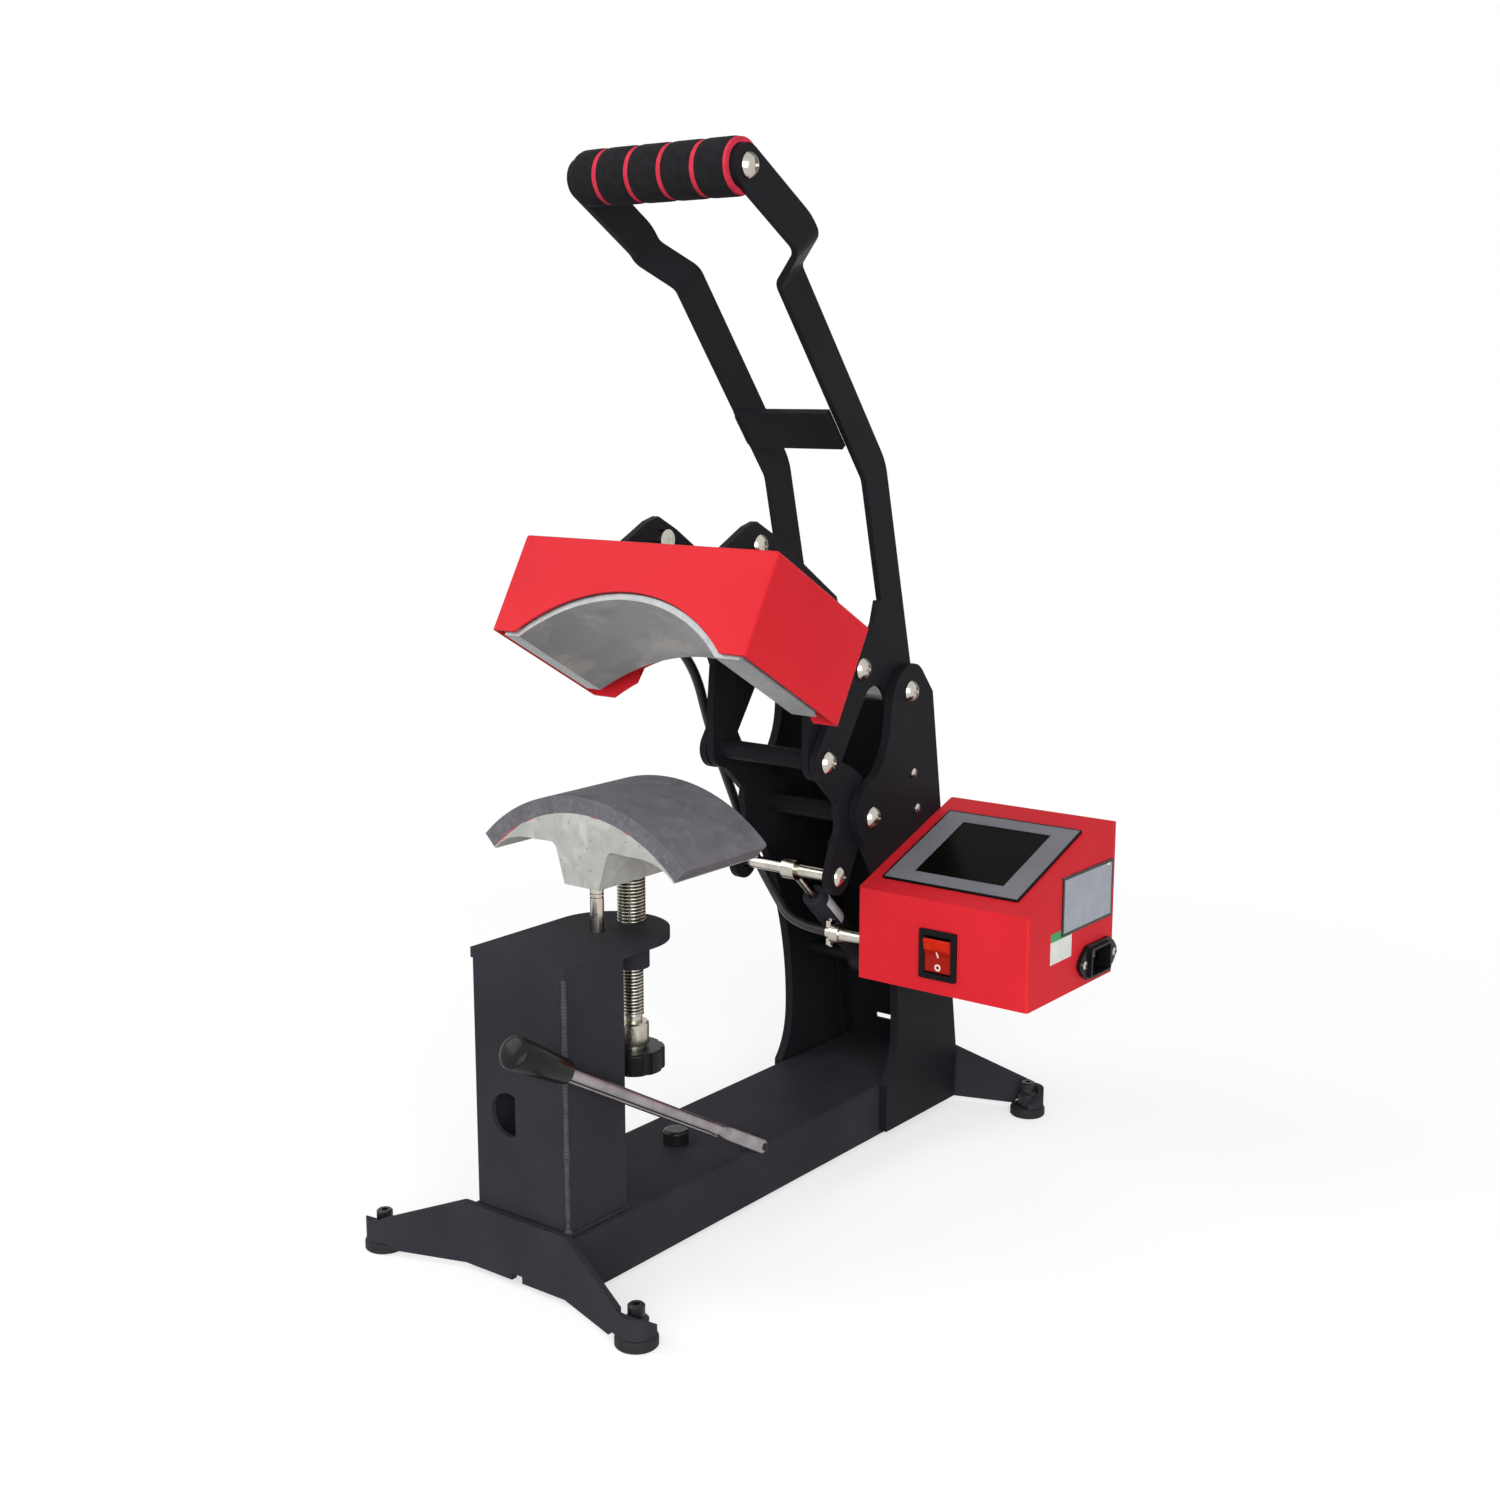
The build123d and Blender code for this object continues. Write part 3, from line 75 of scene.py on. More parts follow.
# ---------------------------------------------------------------- camera
camera = bpy.data.objects.new("camera", bpy.data.cameras.new("camera"))
bpy.context.scene.collection.objects.link(camera)
camera.data.lens = 46.32
camera.data.sensor_width = 36
camera.location = row(724.4, -717.1, 501.4)
camera.rotation_euler = (math.radians(79.30), 0, math.radians(37.51))
bpy.context.scene.camera = camera


# ---------------------------------------------------------------- materials
def srgb(code):
    """sRGB hex colour as linear RGBA."""
    c = np.array([int(code[i:i + 2], 16) for i in (1, 3, 5)]) / 255
    return (*np.where(c <= 0.04045, c / 12.92, ((c + 0.055) / 1.055) ** 2.4).tolist(), 1.0)


def add(tree, kind, **given):
    """Add one node. Capitalised words and i0, i1 ... are its sockets, the other words its settings."""
    node = tree.nodes.new("ShaderNode" + kind)
    for word, value in given.items():
        if word[0].isupper() or (word[0] == "i" and word[1:].isdigit()):
            socket = node.inputs[int(word[1:]) if word[0] == "i" else word.replace("_", " ")]
            if isinstance(value, bpy.types.NodeSocket):
                tree.links.new(value, socket)
            else:
                socket.default_value = value
        else:
            setattr(node, word, value)
    return node


def finish(name, light, dark, patch, grain, depth, rough, swing=0.04, **sockets):
    """A finish: two close shades in soft patches, and a fine grain in height and in gloss.

    patch and grain are the sizes of the patches and of the grain in millimetres, depth the
    height of the grain in millimetres, swing how far the roughness strays from its middle.
    """
    material = bpy.data.materials.new(name)
    material.use_nodes = True
    tree = material.node_tree
    shader = tree.nodes["Principled BSDF"]
    place = add(tree, "TexCoord").outputs["Object"]          # metres, so 1000 / size is a scale
    cloud = add(tree, "TexNoise", Vector=place, Scale=1000 / patch, Detail=3.0)
    fine = add(tree, "TexNoise", Vector=place, Scale=1000 / grain, Detail=2.0)
    share = add(tree, "MapRange", Value=cloud.outputs["Fac"], From_Min=0.35, From_Max=0.65)
    shades = add(tree, "Mix", data_type="RGBA", i0=share.outputs[0], i6=srgb(light), i7=srgb(dark))
    gloss = add(tree, "MapRange", Value=fine.outputs["Fac"], From_Min=0.3, From_Max=0.7,
                To_Min=rough - swing, To_Max=rough + swing)
    bump = add(tree, "Bump", Height=fine.outputs["Fac"], Strength=1.0, Distance=depth * MM)
    for socket, source in (("Base Color", shades.outputs[2]), ("Roughness", gloss.outputs[0]),
                           ("Normal", bump.outputs[0])):
        tree.links.new(source, shader.inputs[socket])
    for socket, value in sockets.items():
        shader.inputs[socket.replace("_", " ")].default_value = value
    return material


def recolour(material, code, mask, within=1.0):
    """Lay another colour over a finish where the mask is 1, and only where within is 1 too."""
    tree = material.node_tree
    socket = tree.nodes["Principled BSDF"].inputs["Base Color"]
    under = socket.links[0].from_socket
    share = add(tree, "Math", operation="MULTIPLY", i0=mask, i1=within)
    over = add(tree, "Mix", data_type="RGBA", i0=share.outputs[0], i6=under, i7=srgb(code))
    tree.links.new(over.outputs[2], socket)


# Steel with an epoxy powder coat: dark, satin, with the faint orange peel of baked powder.
# The real peel is about 1 mm across and is drawn a little coarser, so that it shows.
black_coat = finish("satin black powder coat", "#35343a", "#302f34", 45, 1.7, 0.02, 0.6,
                    Specular_IOR_Level=0.03)
# Powder over a weld bead, drawn paler and a little shinier than the plain coat.
weld_coat = finish("powder coat over a weld", "#414046", "#36353a", 4, 1.1, 0.05, 0.42,
                   Specular_IOR_Level=0.2)
# The same powder on the pressed arms and links, a shade deeper and more even.
arm_coat = finish("deep black powder coat", "#1f1e22", "#1b1a1e", 60, 1.7, 0.02, 0.5,
                  Specular_IOR_Level=0.05)
# Red powder coat on sheet steel: saturated, satin, soft highlights along the bends.
red_coat = finish("red powder coat", "#de2a34", "#d72630", 70, 1.6, 0.02, 0.5,
                  Specular_IOR_Level=0.12)
# Nickel-chrome plated bolts, pins and rods: bright, slightly warm, with hair-fine polishing marks.
bright_steel = finish("bright plated steel", "#c9c4ba", "#b4afa5", 9, 0.9, 0.001, 0.2, 0.04,
                      Metallic=1.0)
# Rolled screw thread, zinc plated and oiled: duller, with painted shade darkening its grooves.
thread_steel = finish("oiled zinc thread", "#c4c0b4", "#aaa699", 5, 0.9, 0.001, 0.3, 0.04,
                      Metallic=1.0)
# Brushed and lacquered lever rod, a shade darker and greyer than the bolts, with a soft gleam.
rod_steel = finish("brushed lever steel", "#a39da1", "#8e898c", 14, 0.9, 0.001, 0.42, 0.05,
                   Metallic=1.0)
# Oxidised steel studs, almost black, with a weak metallic gleam.
oxide = finish("black oxide", "#2b2a2d", "#1f1e21", 4, 0.8, 0.01, 0.4, Metallic=0.6)
# Zinc plated steel tube: pale, cool and half matt.
zinc = finish("zinc plate", "#b6b7b3", "#a3a4a1", 12, 1.0, 0.01, 0.36, Metallic=1.0)
# Sand-cast aluminium with a thin silver wash: matt, light grey, lumpy at 2 mm, with its pits painted
# dark as shade.
casting = finish("cast aluminium", "#b2b4af", "#a6a7a2", 9, 2.2, 0.16, 0.62, 0.06, Metallic=0.2)
# The heated casting: the same metal, coated grey where it presses.
hot_casting = finish("coated cast aluminium", "#a8aaaa", "#999b9c", 14, 2.0, 0.1, 0.45, 0.06,
                     Metallic=0.5)
# Silicone foam sheet, heat-proof, grey with a mauve cast, matt and slightly blotched by use.
silicone = finish("silicone sponge", "#6e6c71", "#666369", 14, 1.3, 0.05, 0.78,
                  Specular_IOR_Level=0.3)
# Moulded rubber feet and strips, dull black. The same finish draws the painted shadow in the heater's
# gaps.
rubber = finish("moulded rubber", "#1b1b1d", "#151517", 10, 1.2, 0.03, 0.72, Specular_IOR_Level=0.3)
# Closed-cell NBR foam: no gloss, fine open pores on a cut skin.
foam = finish("closed-cell foam", "#222024", "#19181b", 5, 0.8, 0.09, 0.95, Specular_IOR_Level=0.15)
red_foam = finish("red closed-cell foam", "#dc3a52", "#cf3048", 5, 0.8, 0.06, 0.85,
                  Specular_IOR_Level=0.2)
# Injection-moulded nylon, spark-eroded texture, half matt.
nylon = finish("moulded black nylon", "#18181a", "#131315", 14, 0.9, 0.006, 0.34,
               Specular_IOR_Level=0.15)
# Dipped PVC hand grip, smoother and glossier.
dipped = finish("dipped grip", "#1c1a19", "#151413", 18, 2.5, 0.002, 0.2, 0.02,
                Specular_IOR_Level=0.16)
# Heat-proof silicone cable jacket, satin black.
jacket = finish("cable jacket", "#1d1d1f", "#161618", 20, 1.5, 0.02, 0.45,
                Specular_IOR_Level=0.4)
# Printed polycarbonate overlay, matt grey.
overlay = finish("printed overlay", "#818289", "#7b7c83", 30, 0.9, 0.004, 0.5,
                 Specular_IOR_Level=0.1)
# Tinted display window, nearly black, smooth.
window = finish("display window", "#0c0e0b", "#080a08", 25, 3.0, 0.001, 0.25, 0.02,
                Specular_IOR_Level=0.02)
# Translucent polycarbonate rocker, orange red, glossy.
rocker_red = finish("rocker polycarbonate", "#dd3019", "#cc2814", 6, 2.0, 0.002, 0.25, 0.03,
                    Specular_IOR_Level=0.3)
# Printed aluminium plate, blank, bluish grey and satin.
plate = finish("anodised plate", "#a6abb6", "#9da2ad", 12, 0.8, 0.003, 0.42, Metallic=0.15)
# Self-adhesive paper label, blank.
paper = finish("label paper", "#f0f2ec", "#e4e7df", 9, 1.0, 0.01, 0.55)
# The strut's label: smoother paper, a shade greyer.
paper_white = finish("strut label paper", "#dcdce2", "#cfcfd6", 9, 1.0, 0.004, 0.6)
# Screen-printed white marks, thick enough to look solid.
white_ink = finish("white mark", "#f2efe8", "#e6e2da", 4, 0.8, 0.005, 0.5)
# Red silicone glue squeezed out of a joint.
glue = finish("red silicone glue", "#c8483f", "#b23a34", 3, 0.8, 0.05, 0.4)
# Green varnished glass-fibre board, half matt.
board = finish("fibre board", "#1d6b34", "#185a2c", 8, 1.0, 0.02, 0.5)
# Pressed mica sheet: golden brown, with a faint flaky gleam.
mica = finish("mica sheet", "#b59a5a", "#a1874a", 9, 1.0, 0.02, 0.45)
# Ceramic fibre wool, off-white and quite matt, with a coarse fluffy surface.
wool = finish("fibre wool", "#e8e4da", "#d8d2c4", 6, 1.0, 0.4, 0.95)


def spots(material):
    """The Object coordinates that a finish reads its patterns by."""
    return material.node_tree.nodes["Texture Coordinate"].outputs["Object"]


def local(material, centre, lean=0.0):
    """The object's coordinates from a centre, in axes that lean by an angle about X."""
    tree = material.node_tree
    c, s = math.cos(lean), math.sin(lean)
    back = np.array(((1, 0, 0), (0, c, s), (0, -s, c)))
    turned_back = add(tree, "Mapping", Vector=spots(material), Rotation=(-lean, 0, 0),
                      Location=tuple(-back @ row(*centre)))
    return add(tree, "SeparateXYZ", Vector=turned_back.outputs[0]).outputs


def above(material, value, edge, soft=0.1):
    """1 where a value is over an edge in millimetres, 0 under it, with a soft step between."""
    return add(material.node_tree, "MapRange", Value=value, From_Min=(edge - soft) * MM,
               From_Max=(edge + soft) * MM).outputs[0]


def below(material, value, edge, soft=0.1):
    """1 where a value is under an edge in millimetres, 0 over it, with a soft step between."""
    return above(material, value, edge, -soft)


def outside(material, centre, lean, across, along, half):
    """1 outside a rectangle about a centre, 0 within: the larger of the two overruns, stepped."""
    tree = material.node_tree
    place = local(material, centre, lean)
    over = []
    for axis, limit in zip((across, along), half):
        distance = add(tree, "Math", operation="ABSOLUTE", i0=place[axis]).outputs[0]
        over.append(add(tree, "Math", operation="SUBTRACT", i0=distance, i1=limit * MM).outputs[0])
    larger = add(tree, "Math", operation="MAXIMUM", i0=over[0], i1=over[1]).outputs[0]
    return above(material, larger, 0)


def blotches(material, patch, low, high):
    """Soft patches of a size in millimetres: 0 in most places, 1 in the patches' middles."""
    tree = material.node_tree
    cloud = add(tree, "TexNoise", Vector=spots(material), Scale=1000 / patch, Detail=4.0,
                Distortion=0.6)
    return add(tree, "MapRange", Value=cloud.outputs["Fac"], From_Min=low, From_Max=high).outputs[0]


# The casting: brighter rubbed places, and dark spots painted as the shade in its pits. Real sand pits
# are too fine to show, so these are drawn 1.1 mm wide, one in each cell of 7 mm. The distance runs in
# cells and the edge in thousandths of one, so an edge of 80 is a radius of 0.56 mm.
recolour(casting, "#c6c8c2", blotches(casting, 12, 0.52, 0.75))
# Painted shade of the sand pits: one dark dot in each cell.
cells = add(casting.node_tree, "TexVoronoi", Vector=spots(casting), Scale=1000 / 7.0)
recolour(casting, "#6f6c68", below(casting, cells.outputs["Distance"], 80, 20))

# The pressing face is coated: inside the hollow's radius the metal is darker. Pale brownish and dark
# patches on it are painted reflection, blurred as on dull metal.
HOLLOW_R = 109.0
HOLLOW_CENTRE = (107.0, 160.8)   # Y and Z of the level heater's hollow
place = local(hot_casting, (0, *open_point(*HOLLOW_CENTRE)), -TILT)
flat = add(hot_casting.node_tree, "CombineXYZ", X=place["X"], Z=place["Z"])
reach = add(hot_casting.node_tree, "VectorMath", operation="LENGTH", i0=flat.outputs[0])
face = below(hot_casting, reach.outputs["Value"], HOLLOW_R + 0.3, 0.15)
recolour(hot_casting, "#8b8b8e", face)
# Painted reflection: pale brownish and dark patches within the pressing face.
recolour(hot_casting, "#a5a19c", blotches(hot_casting, 30, 0.5, 0.68), face)
recolour(hot_casting, "#6f6f74", blotches(hot_casting, 46, 0.52, 0.72), face)

PAD_FRONT = 69.2                 # Y of the pad's cut front face
# The pad: mauve blotches on its skin, and pale and dark specks on its cut front face.
recolour(silicone, "#77737c", blotches(silicone, 9, 0.5, 0.75))
recolour(silicone, "#5b595f", blotches(silicone, 22, 0.55, 0.8))
front = below(silicone, local(silicone, (0, PAD_FRONT + 0.4, 0))["Y"], 0)
recolour(silicone, "#5c5a60", blotches(silicone, 2.4, 0.42, 0.75), front)
recolour(silicone, "#7e7c83", blotches(silicone, 1.9, 0.56, 0.8), front)

# Black borders: the bezel's edge round the display's overlay and a printed edge round the blank plate,
# both widened by painted shadow along them.
PANEL_LOW = np.array((280.0, 184.4))         # Y and Z of the sloping panel's lower edge
PANEL_HIGH = np.array((392.0, 224.7))        # and of its upper edge
SLOPE = math.atan2(*(PANEL_HIGH - PANEL_LOW)[::-1])
panel_middle = PANEL_LOW + 57.4 * np.array((math.cos(SLOPE), math.sin(SLOPE)))
recolour(overlay, "#0a0a0c", outside(overlay, (106.5, *panel_middle), SLOPE, "X", "Y", (48.8, 42.3)))
recolour(plate, "#0c0c10", outside(plate, (BOX_RIGHT, 353.9, 182.5), 0, "Y", "Z", (31.2, 17.1)))
# The label's upper band is printed green.
recolour(paper, "#3f9a5f", above(paper, local(paper, (0, 0, 0))["Z"], 162.6))
# Painted shade: the rocker's lower half looks away from the light and is coloured a deeper red.
recolour(rocker_red, "#a31b10", below(rocker_red, local(rocker_red, (0, 0, 153.0))["Z"], 0, 0.6))
# Painted reflection: chrome and the lever's steel are darker in a narrow band between their middle and
# their outline, by how far the surface turns away from the eye, as if they mirrored dark surroundings.
REFLECTION_BAND_EDGE = 0.12
for metal, shade, first, last in ((bright_steel, "#4d473c", 0.42, 0.72),
                                  (rod_steel, "#4a4648", 0.55, 0.85)):
    tree = metal.node_tree
    facing = add(tree, "LayerWeight", Blend=0.5).outputs["Facing"]
    rise = add(tree, "MapRange", Value=facing, From_Min=first, From_Max=first + REFLECTION_BAND_EDGE)
    fall = add(tree, "MapRange", Value=facing, From_Min=last + REFLECTION_BAND_EDGE, From_Max=last)
    recolour(metal, shade, rise.outputs[0], fall.outputs[0])
# Painted shade darkens the thread's grooves by their depth, which is stored on the mesh.
groove = add(thread_steel.node_tree, "Attribute", attribute_name="groove").outputs["Fac"]
recolour(thread_steel, "#2c2923", groove)

looks = {
    "black_powder_coat": black_coat, "red_powder_coat": red_coat, "bright_hardware": bright_steel,
    "black_oxide": oxide, "zinc_tube": zinc, "cast_aluminium": casting, "silicone": silicone,
    "black_rubber": rubber, "foam": foam, "red_foam": red_foam, "black_plastic": nylon,
    "cable_jacket": jacket, "panel_grey": overlay, "display": window, "rocker_red": rocker_red,
    "plate_grey": plate, "board": board, "mica": mica, "wool": wool,
}
for part in frame["record"]["subparts"]:
    slots = nodes[part["node"]].data.materials
    slots.clear()
    slots.append(looks[part["material_slot"]])
nodes["heater_platen"].data.materials[0] = hot_casting
nodes["base_stop"].data.materials[0] = dipped
for name in ("right_handle_arm", "left_handle_arm", "handle_cross_plate", "right_link", "left_link",
             "right_carrier", "left_carrier", "carrier_tubes", "right_bracket", "left_bracket",
             "rear_cover", "cover_block", "strut_anchor"):
    nodes[name].data.materials[0] = arm_coat


# ---------------------------------------------------------------- meshes from numbers
SAME_POINT = 1e-6                # corners nearer than this, in metres, are one corner
CREASE = math.radians(38)        # faces of a new piece that meet at more than this look sharp
CAD_CREASE = math.radians(8)     # and the same for a copy of a CAD node


def piece(name, points, faces, material, body, groove=None):
    """Make one finished piece from row-frame points and faces, closed and facing outwards.

    A piece without a body is left without a parent.
    """
    mesh = bpy.data.meshes.new(name)
    mesh.from_pydata(points.tolist(), [], faces)
    if groove is not None:
        kept = mesh.attributes.new("groove", "FLOAT", "POINT")
        kept.data.foreach_set("value", groove.astype(np.float32))
    work = bmesh.new()
    work.from_mesh(mesh)
    bmesh.ops.remove_doubles(work, verts=work.verts, dist=SAME_POINT)
    bmesh.ops.recalc_face_normals(work, faces=work.faces)
    work.to_mesh(mesh)
    work.free()
    mesh.polygons.foreach_set("use_smooth", np.ones(len(mesh.polygons), bool))
    mesh.set_sharp_from_angle(angle=CREASE)
    mesh.materials.append(material)
    thing = bpy.data.objects.new(name, mesh)
    bpy.context.scene.collection.objects.link(thing)
    if body:
        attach(thing, body)
    return thing


def cad_copy(node, name, body):
    """A merged copy of a CAD node that stands for it, and its vertices' places in metres."""
    thing = nodes[node].copy()
    thing.data = nodes[node].data.copy()
    thing.parent = None
    thing.name = thing.data.name = name
    bpy.context.scene.collection.objects.link(thing)
    work = bmesh.new()
    work.from_mesh(thing.data)
    bmesh.ops.remove_doubles(work, verts=work.verts, dist=SAME_POINT)
    work.to_mesh(thing.data)
    work.free()
    thing.data.polygons.foreach_set("use_smooth", np.ones(len(thing.data.polygons), bool))
    thing.data.set_sharp_from_angle(angle=CAD_CREASE)
    corners = np.empty(len(thing.data.vertices) * 3)
    thing.data.vertices.foreach_get("co", corners)
    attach(thing, body)
    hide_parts(node)
    return thing, corners.reshape(-1, 3)


def grid_faces(rows, columns, ring):
    """Quads of a grid of rows by columns; ring joins its last column to the first."""
    wide = columns if ring else columns - 1
    i, j = np.meshgrid(np.arange(rows - 1), np.arange(wide), indexing="ij")
    k = (j + 1) % columns
    low, high = i * columns, (i + 1) * columns
    return np.stack((low + j, low + k, high + k, high + j), -1).reshape(-1, 4).tolist()


def caps(count):
    """The two end faces between which a ring of count corners and its copy are joined."""
    return [list(range(count)), list(range(2 * count - 1, count - 1, -1))]


def turned(name, axis, start, profile, material, body, columns=48, thread=None, side=None):
    """A turned piece: the radius at each length along an axis, swept round it.

    profile holds (length, radius) pairs in millimetres, or (length, radius, radius) where the
    section is an ellipse, its first radius along side. thread is (first length, last length,
    pitch, depth): between those lengths the radius dips by the depth in a wave that climbs one
    pitch each turn, so the groove is a true helix. The wave is flat over 35% of the pitch at its
    crest and 15% at its root, with straight flanks. The dip is kept on the mesh as groove.
    """
    stations = np.array([(p[0], p[1], p[-1]) for p in profile], float)
    length = stations[:, 0]
    turn = np.linspace(0, 2 * math.pi, columns, endpoint=False)
    along = Vector(axis).normalized()
    side = Vector(side or along.orthogonal()).normalized()
    other = along.cross(side)
    dip = np.zeros((len(length), columns))
    if thread:
        first, last, pitch, depth = thread
        phase = np.mod(length[:, None] / pitch - turn / (2 * math.pi), 1)
        fade = np.clip((length - first) / pitch, 0, 1) * np.clip((last - length) / pitch, 0, 1)
        dip = np.clip(2.0 * np.abs(2 * phase - 1) - 0.7, 0, 1) * fade[:, None] * depth
    points = (np.array(start) + length[:, None, None] * np.array(along)
              + ((stations[:, 1:2] - dip) * np.cos(turn))[..., None] * np.array(side)
              + ((stations[:, 2:3] - dip) * np.sin(turn))[..., None] * np.array(other))
    return piece(name, row(points.reshape(-1, 3)), grid_faces(len(length), columns, True),
                 material, body, dip.ravel() / (thread[3] if thread else 1))


BEAD_STEP = 0.7
BEAD_SIDES = 10


def bead(name, path, radius, material, body, seed=1):
    """A weld bead, or a dark bead of painted shadow: a tube along straight runs, its radius rippling
    every 2 mm with a little chance.

    The centre follows the runs at equal steps, the section is a circle across the run, and the
    radius is the bead's own times one plus the ripple and the chance, which has a new value every
    5 mm. It falls to nothing over the last 1.5 mm at both ends.
    """
    path = np.array(path, float)
    run = np.concatenate(([0], np.cumsum(np.linalg.norm(np.diff(path, axis=0), axis=1))))
    s = np.arange(0, run[-1], BEAD_STEP)
    centre = np.stack([np.interp(s, run, path[:, k]) for k in range(3)], 1)
    ahead = np.gradient(centre, axis=0)
    ahead /= np.linalg.norm(ahead, axis=1)[:, None]
    side = np.cross(ahead, np.where(np.abs(ahead[:, 2:]) > 0.9, (1.0, 0, 0), (0, 0, 1.0)))
    side /= np.linalg.norm(side, axis=1)[:, None]
    knots = np.arange(0, run[-1] + 6, 5)
    chance = np.interp(s, knots, np.random.default_rng(seed).normal(0, 0.1, len(knots)))
    ends = np.clip(np.minimum(s, s[-1] - s) / 1.5, 0, 1) ** 0.5
    swell = radius * (1 + 0.12 * np.sin(s * math.pi) + chance) * ends
    turn = np.linspace(0, 2 * math.pi, BEAD_SIDES, endpoint=False)[:, None]
    up = np.cross(ahead, side)
    section = np.cos(turn)[None] * side[:, None] + np.sin(turn)[None] * up[:, None]
    points = centre[:, None] + swell[:, None, None] * section
    return piece(name, row(points.reshape(-1, 3)), grid_faces(len(s), BEAD_SIDES, True), material,
                 body)


def slab(name, outline, thick, material, body):
    """A flat piece: a ring of corners in the press's frame, and the same ring a thickness away."""
    outline = np.array(outline, float)
    count = len(outline)
    points = np.concatenate((outline, outline + np.array(thick, float)))
    return piece(name, row(points), caps(count) + grid_faces(2, count, True), material, body)


# ---------------------------------------------------------------- lifting spindle
# Upwards: a stub in the knob, the turned collar above it, a thin threaded length and the thick
# threaded length that carries the lower platen.
PITCH = 2.0
THREAD_LOW = 134.5
THREAD_HIGH = 232.0
THREAD_DEPTH = 0.75
spindle_low = [(105.0, 0.0), (105.0, 5.0), (114.5, 5.0), (114.5, 8.0), (116.5, 8.0), (116.5, 9.5),
               (117.0, 9.7), (129.3, 9.7), (130.3, 8.7), (130.3, 5.8), (134.0, 5.8), (134.0, 6.0)]
step = PITCH / 8
thin = [(z, 6.8) for z in np.arange(THREAD_LOW, 163.5, step)]
thick = [(z, 8.5) for z in np.arange(163.75, THREAD_HIGH, step)]
spindle = turned("lifting_spindle", (0, 0, 1), (0, 112.0, 0),
                 spindle_low + thin + thick + [(232.3, 8.0), (232.3, 0.0)], thread_steel, "screw",
                 44, (THREAD_LOW, THREAD_HIGH, PITCH, THREAD_DEPTH))
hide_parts("adjusting_screw")

# The guide pin has two shallow ring grooves near its upper end.
PIN_R = 4.1
RING_R = 3.6
pin = turned("guide_pin_rings", (0, 0, 1), (0, 82.0, 0),
             [(150, 0), (150, PIN_R), (212.3, PIN_R), (212.5, RING_R), (213.2, RING_R),
              (213.4, PIN_R), (214.6, PIN_R), (214.8, RING_R), (215.5, RING_R), (215.7, PIN_R),
              (232.6, PIN_R), (232.6, 0)], bright_steel, "lower_platen", 40)
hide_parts("guide_pin")

# ---------------------------------------------------------------- side lever
# Lengths run from the lever's pivot up to its hand end.
LEVER = (46.0, 179.0, 40.5)      # its pivot
RISE = math.radians(29.5)        # how steeply it rises towards the front
lever_axis = (0, -math.cos(RISE), math.sin(RISE))


def on_lever(x, y):
    """A point beside the lever's pivot, x to the right and y square to the lever, upwards."""
    return LEVER[0] + x, LEVER[1] + y * math.sin(RISE), LEVER[2] + y * math.cos(RISE)


# The tongue ends in a half circle across its width and thins to its edge. The rod above is round.
tongue = [(-4.6 * math.cos(t), 2.2 * math.sin(t) ** 0.4, 4.6 * math.sin(t))
          for t in np.linspace(0, math.pi / 2, 12)]
tongue += [(20, 2.2, 4.4), (36, 2.2, 4.3), (42, 2.3, 4.2), (45, 2.9, 4.0), (48, 3.3, 3.8),
           (50, 3.3, 3.6), (52, 3.8, 3.8), (53, 3.8, 3.8), (54, 3.5, 3.5), (60, 3.5, 3.5),
           (200, 3.7, 3.7), (231, 3.7, 3.7), (231, 0, 0)]
rod = turned("lever_bar", lever_axis, on_lever(0, 0), tongue, rod_steel, "lever",
             40, side=(1, 0, 0))
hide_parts("lever_rod")
# The thin rod beside it, and the dipped sleeve with its rounded tip.
prong = turned("lever_prong", lever_axis, on_lever(-6.0, -2.5),
               [(40, 0), (40, 1.4), (41.5, 2.2), (43, 2.4), (206, 2.4), (206, 0)], rod_steel, "lever",
               28)
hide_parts("lever_side_rod")
ball = [(245.5 + 2.5 * math.sin(t), 9.25 * math.cos(t)) for t in np.linspace(0.1, math.pi / 2, 12)]
handle = turned("lever_sleeve", lever_axis, on_lever(0, 0),
                [(201, 0), (201, 6.3), (201.8, 7.0), (203, 7.2), (243.5, 9.3), (244.2, 8.9), (245, 8.9),
                 (245.3, 9.2)] + ball, dipped, "lever", 56)
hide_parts("lever_grip")

# ---------------------------------------------------------------- hand grip
# The foam laps over the edges of each red ring and rounds down towards it, and its left end is
# rounded too.
GRIP = (145.5, 618.8)            # Y and Z of the handle's bar
GRIP_END = 57.4
BAR_R = 9.0
FOAM_R = 16.1
BED_R = 12.5                     # the grooves' floor
RING_HALF = 1.4
grooves = [(x - RING_HALF, x + RING_HALF) for x in (-37.8, -14.0, 9.8, 33.6)] + [(55.5, GRIP_END)]
rounding = ((3.0, 0.0), (1.2, 0.15), (0.4, 0.35), (0.0, 0.7))         # distance from it, and drop
profile = [(-GRIP_END, BAR_R), (-GRIP_END, 12.6), (-56.9, 14.2), (-55.8, 15.3), (-54.0, 15.9)]
left = -54.0
for a, b in grooves:
    profile += [((left + a) / 2, FOAM_R)] + [(a - away, FOAM_R - drop) for away, drop in rounding]
    profile += [(a, BED_R)]
    if b < GRIP_END:
        profile += [(b, BED_R)] + [(b + away, FOAM_R - drop) for away, drop in rounding[::-1]]
    left = b + 3.0
profile += [(GRIP_END, BED_R), (GRIP_END, BAR_R), (-GRIP_END, BAR_R)]
grip = turned("grip_sleeve", (1, 0, 0), (0, *GRIP), profile, foam, "handle", 64)
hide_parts("grip_foam")

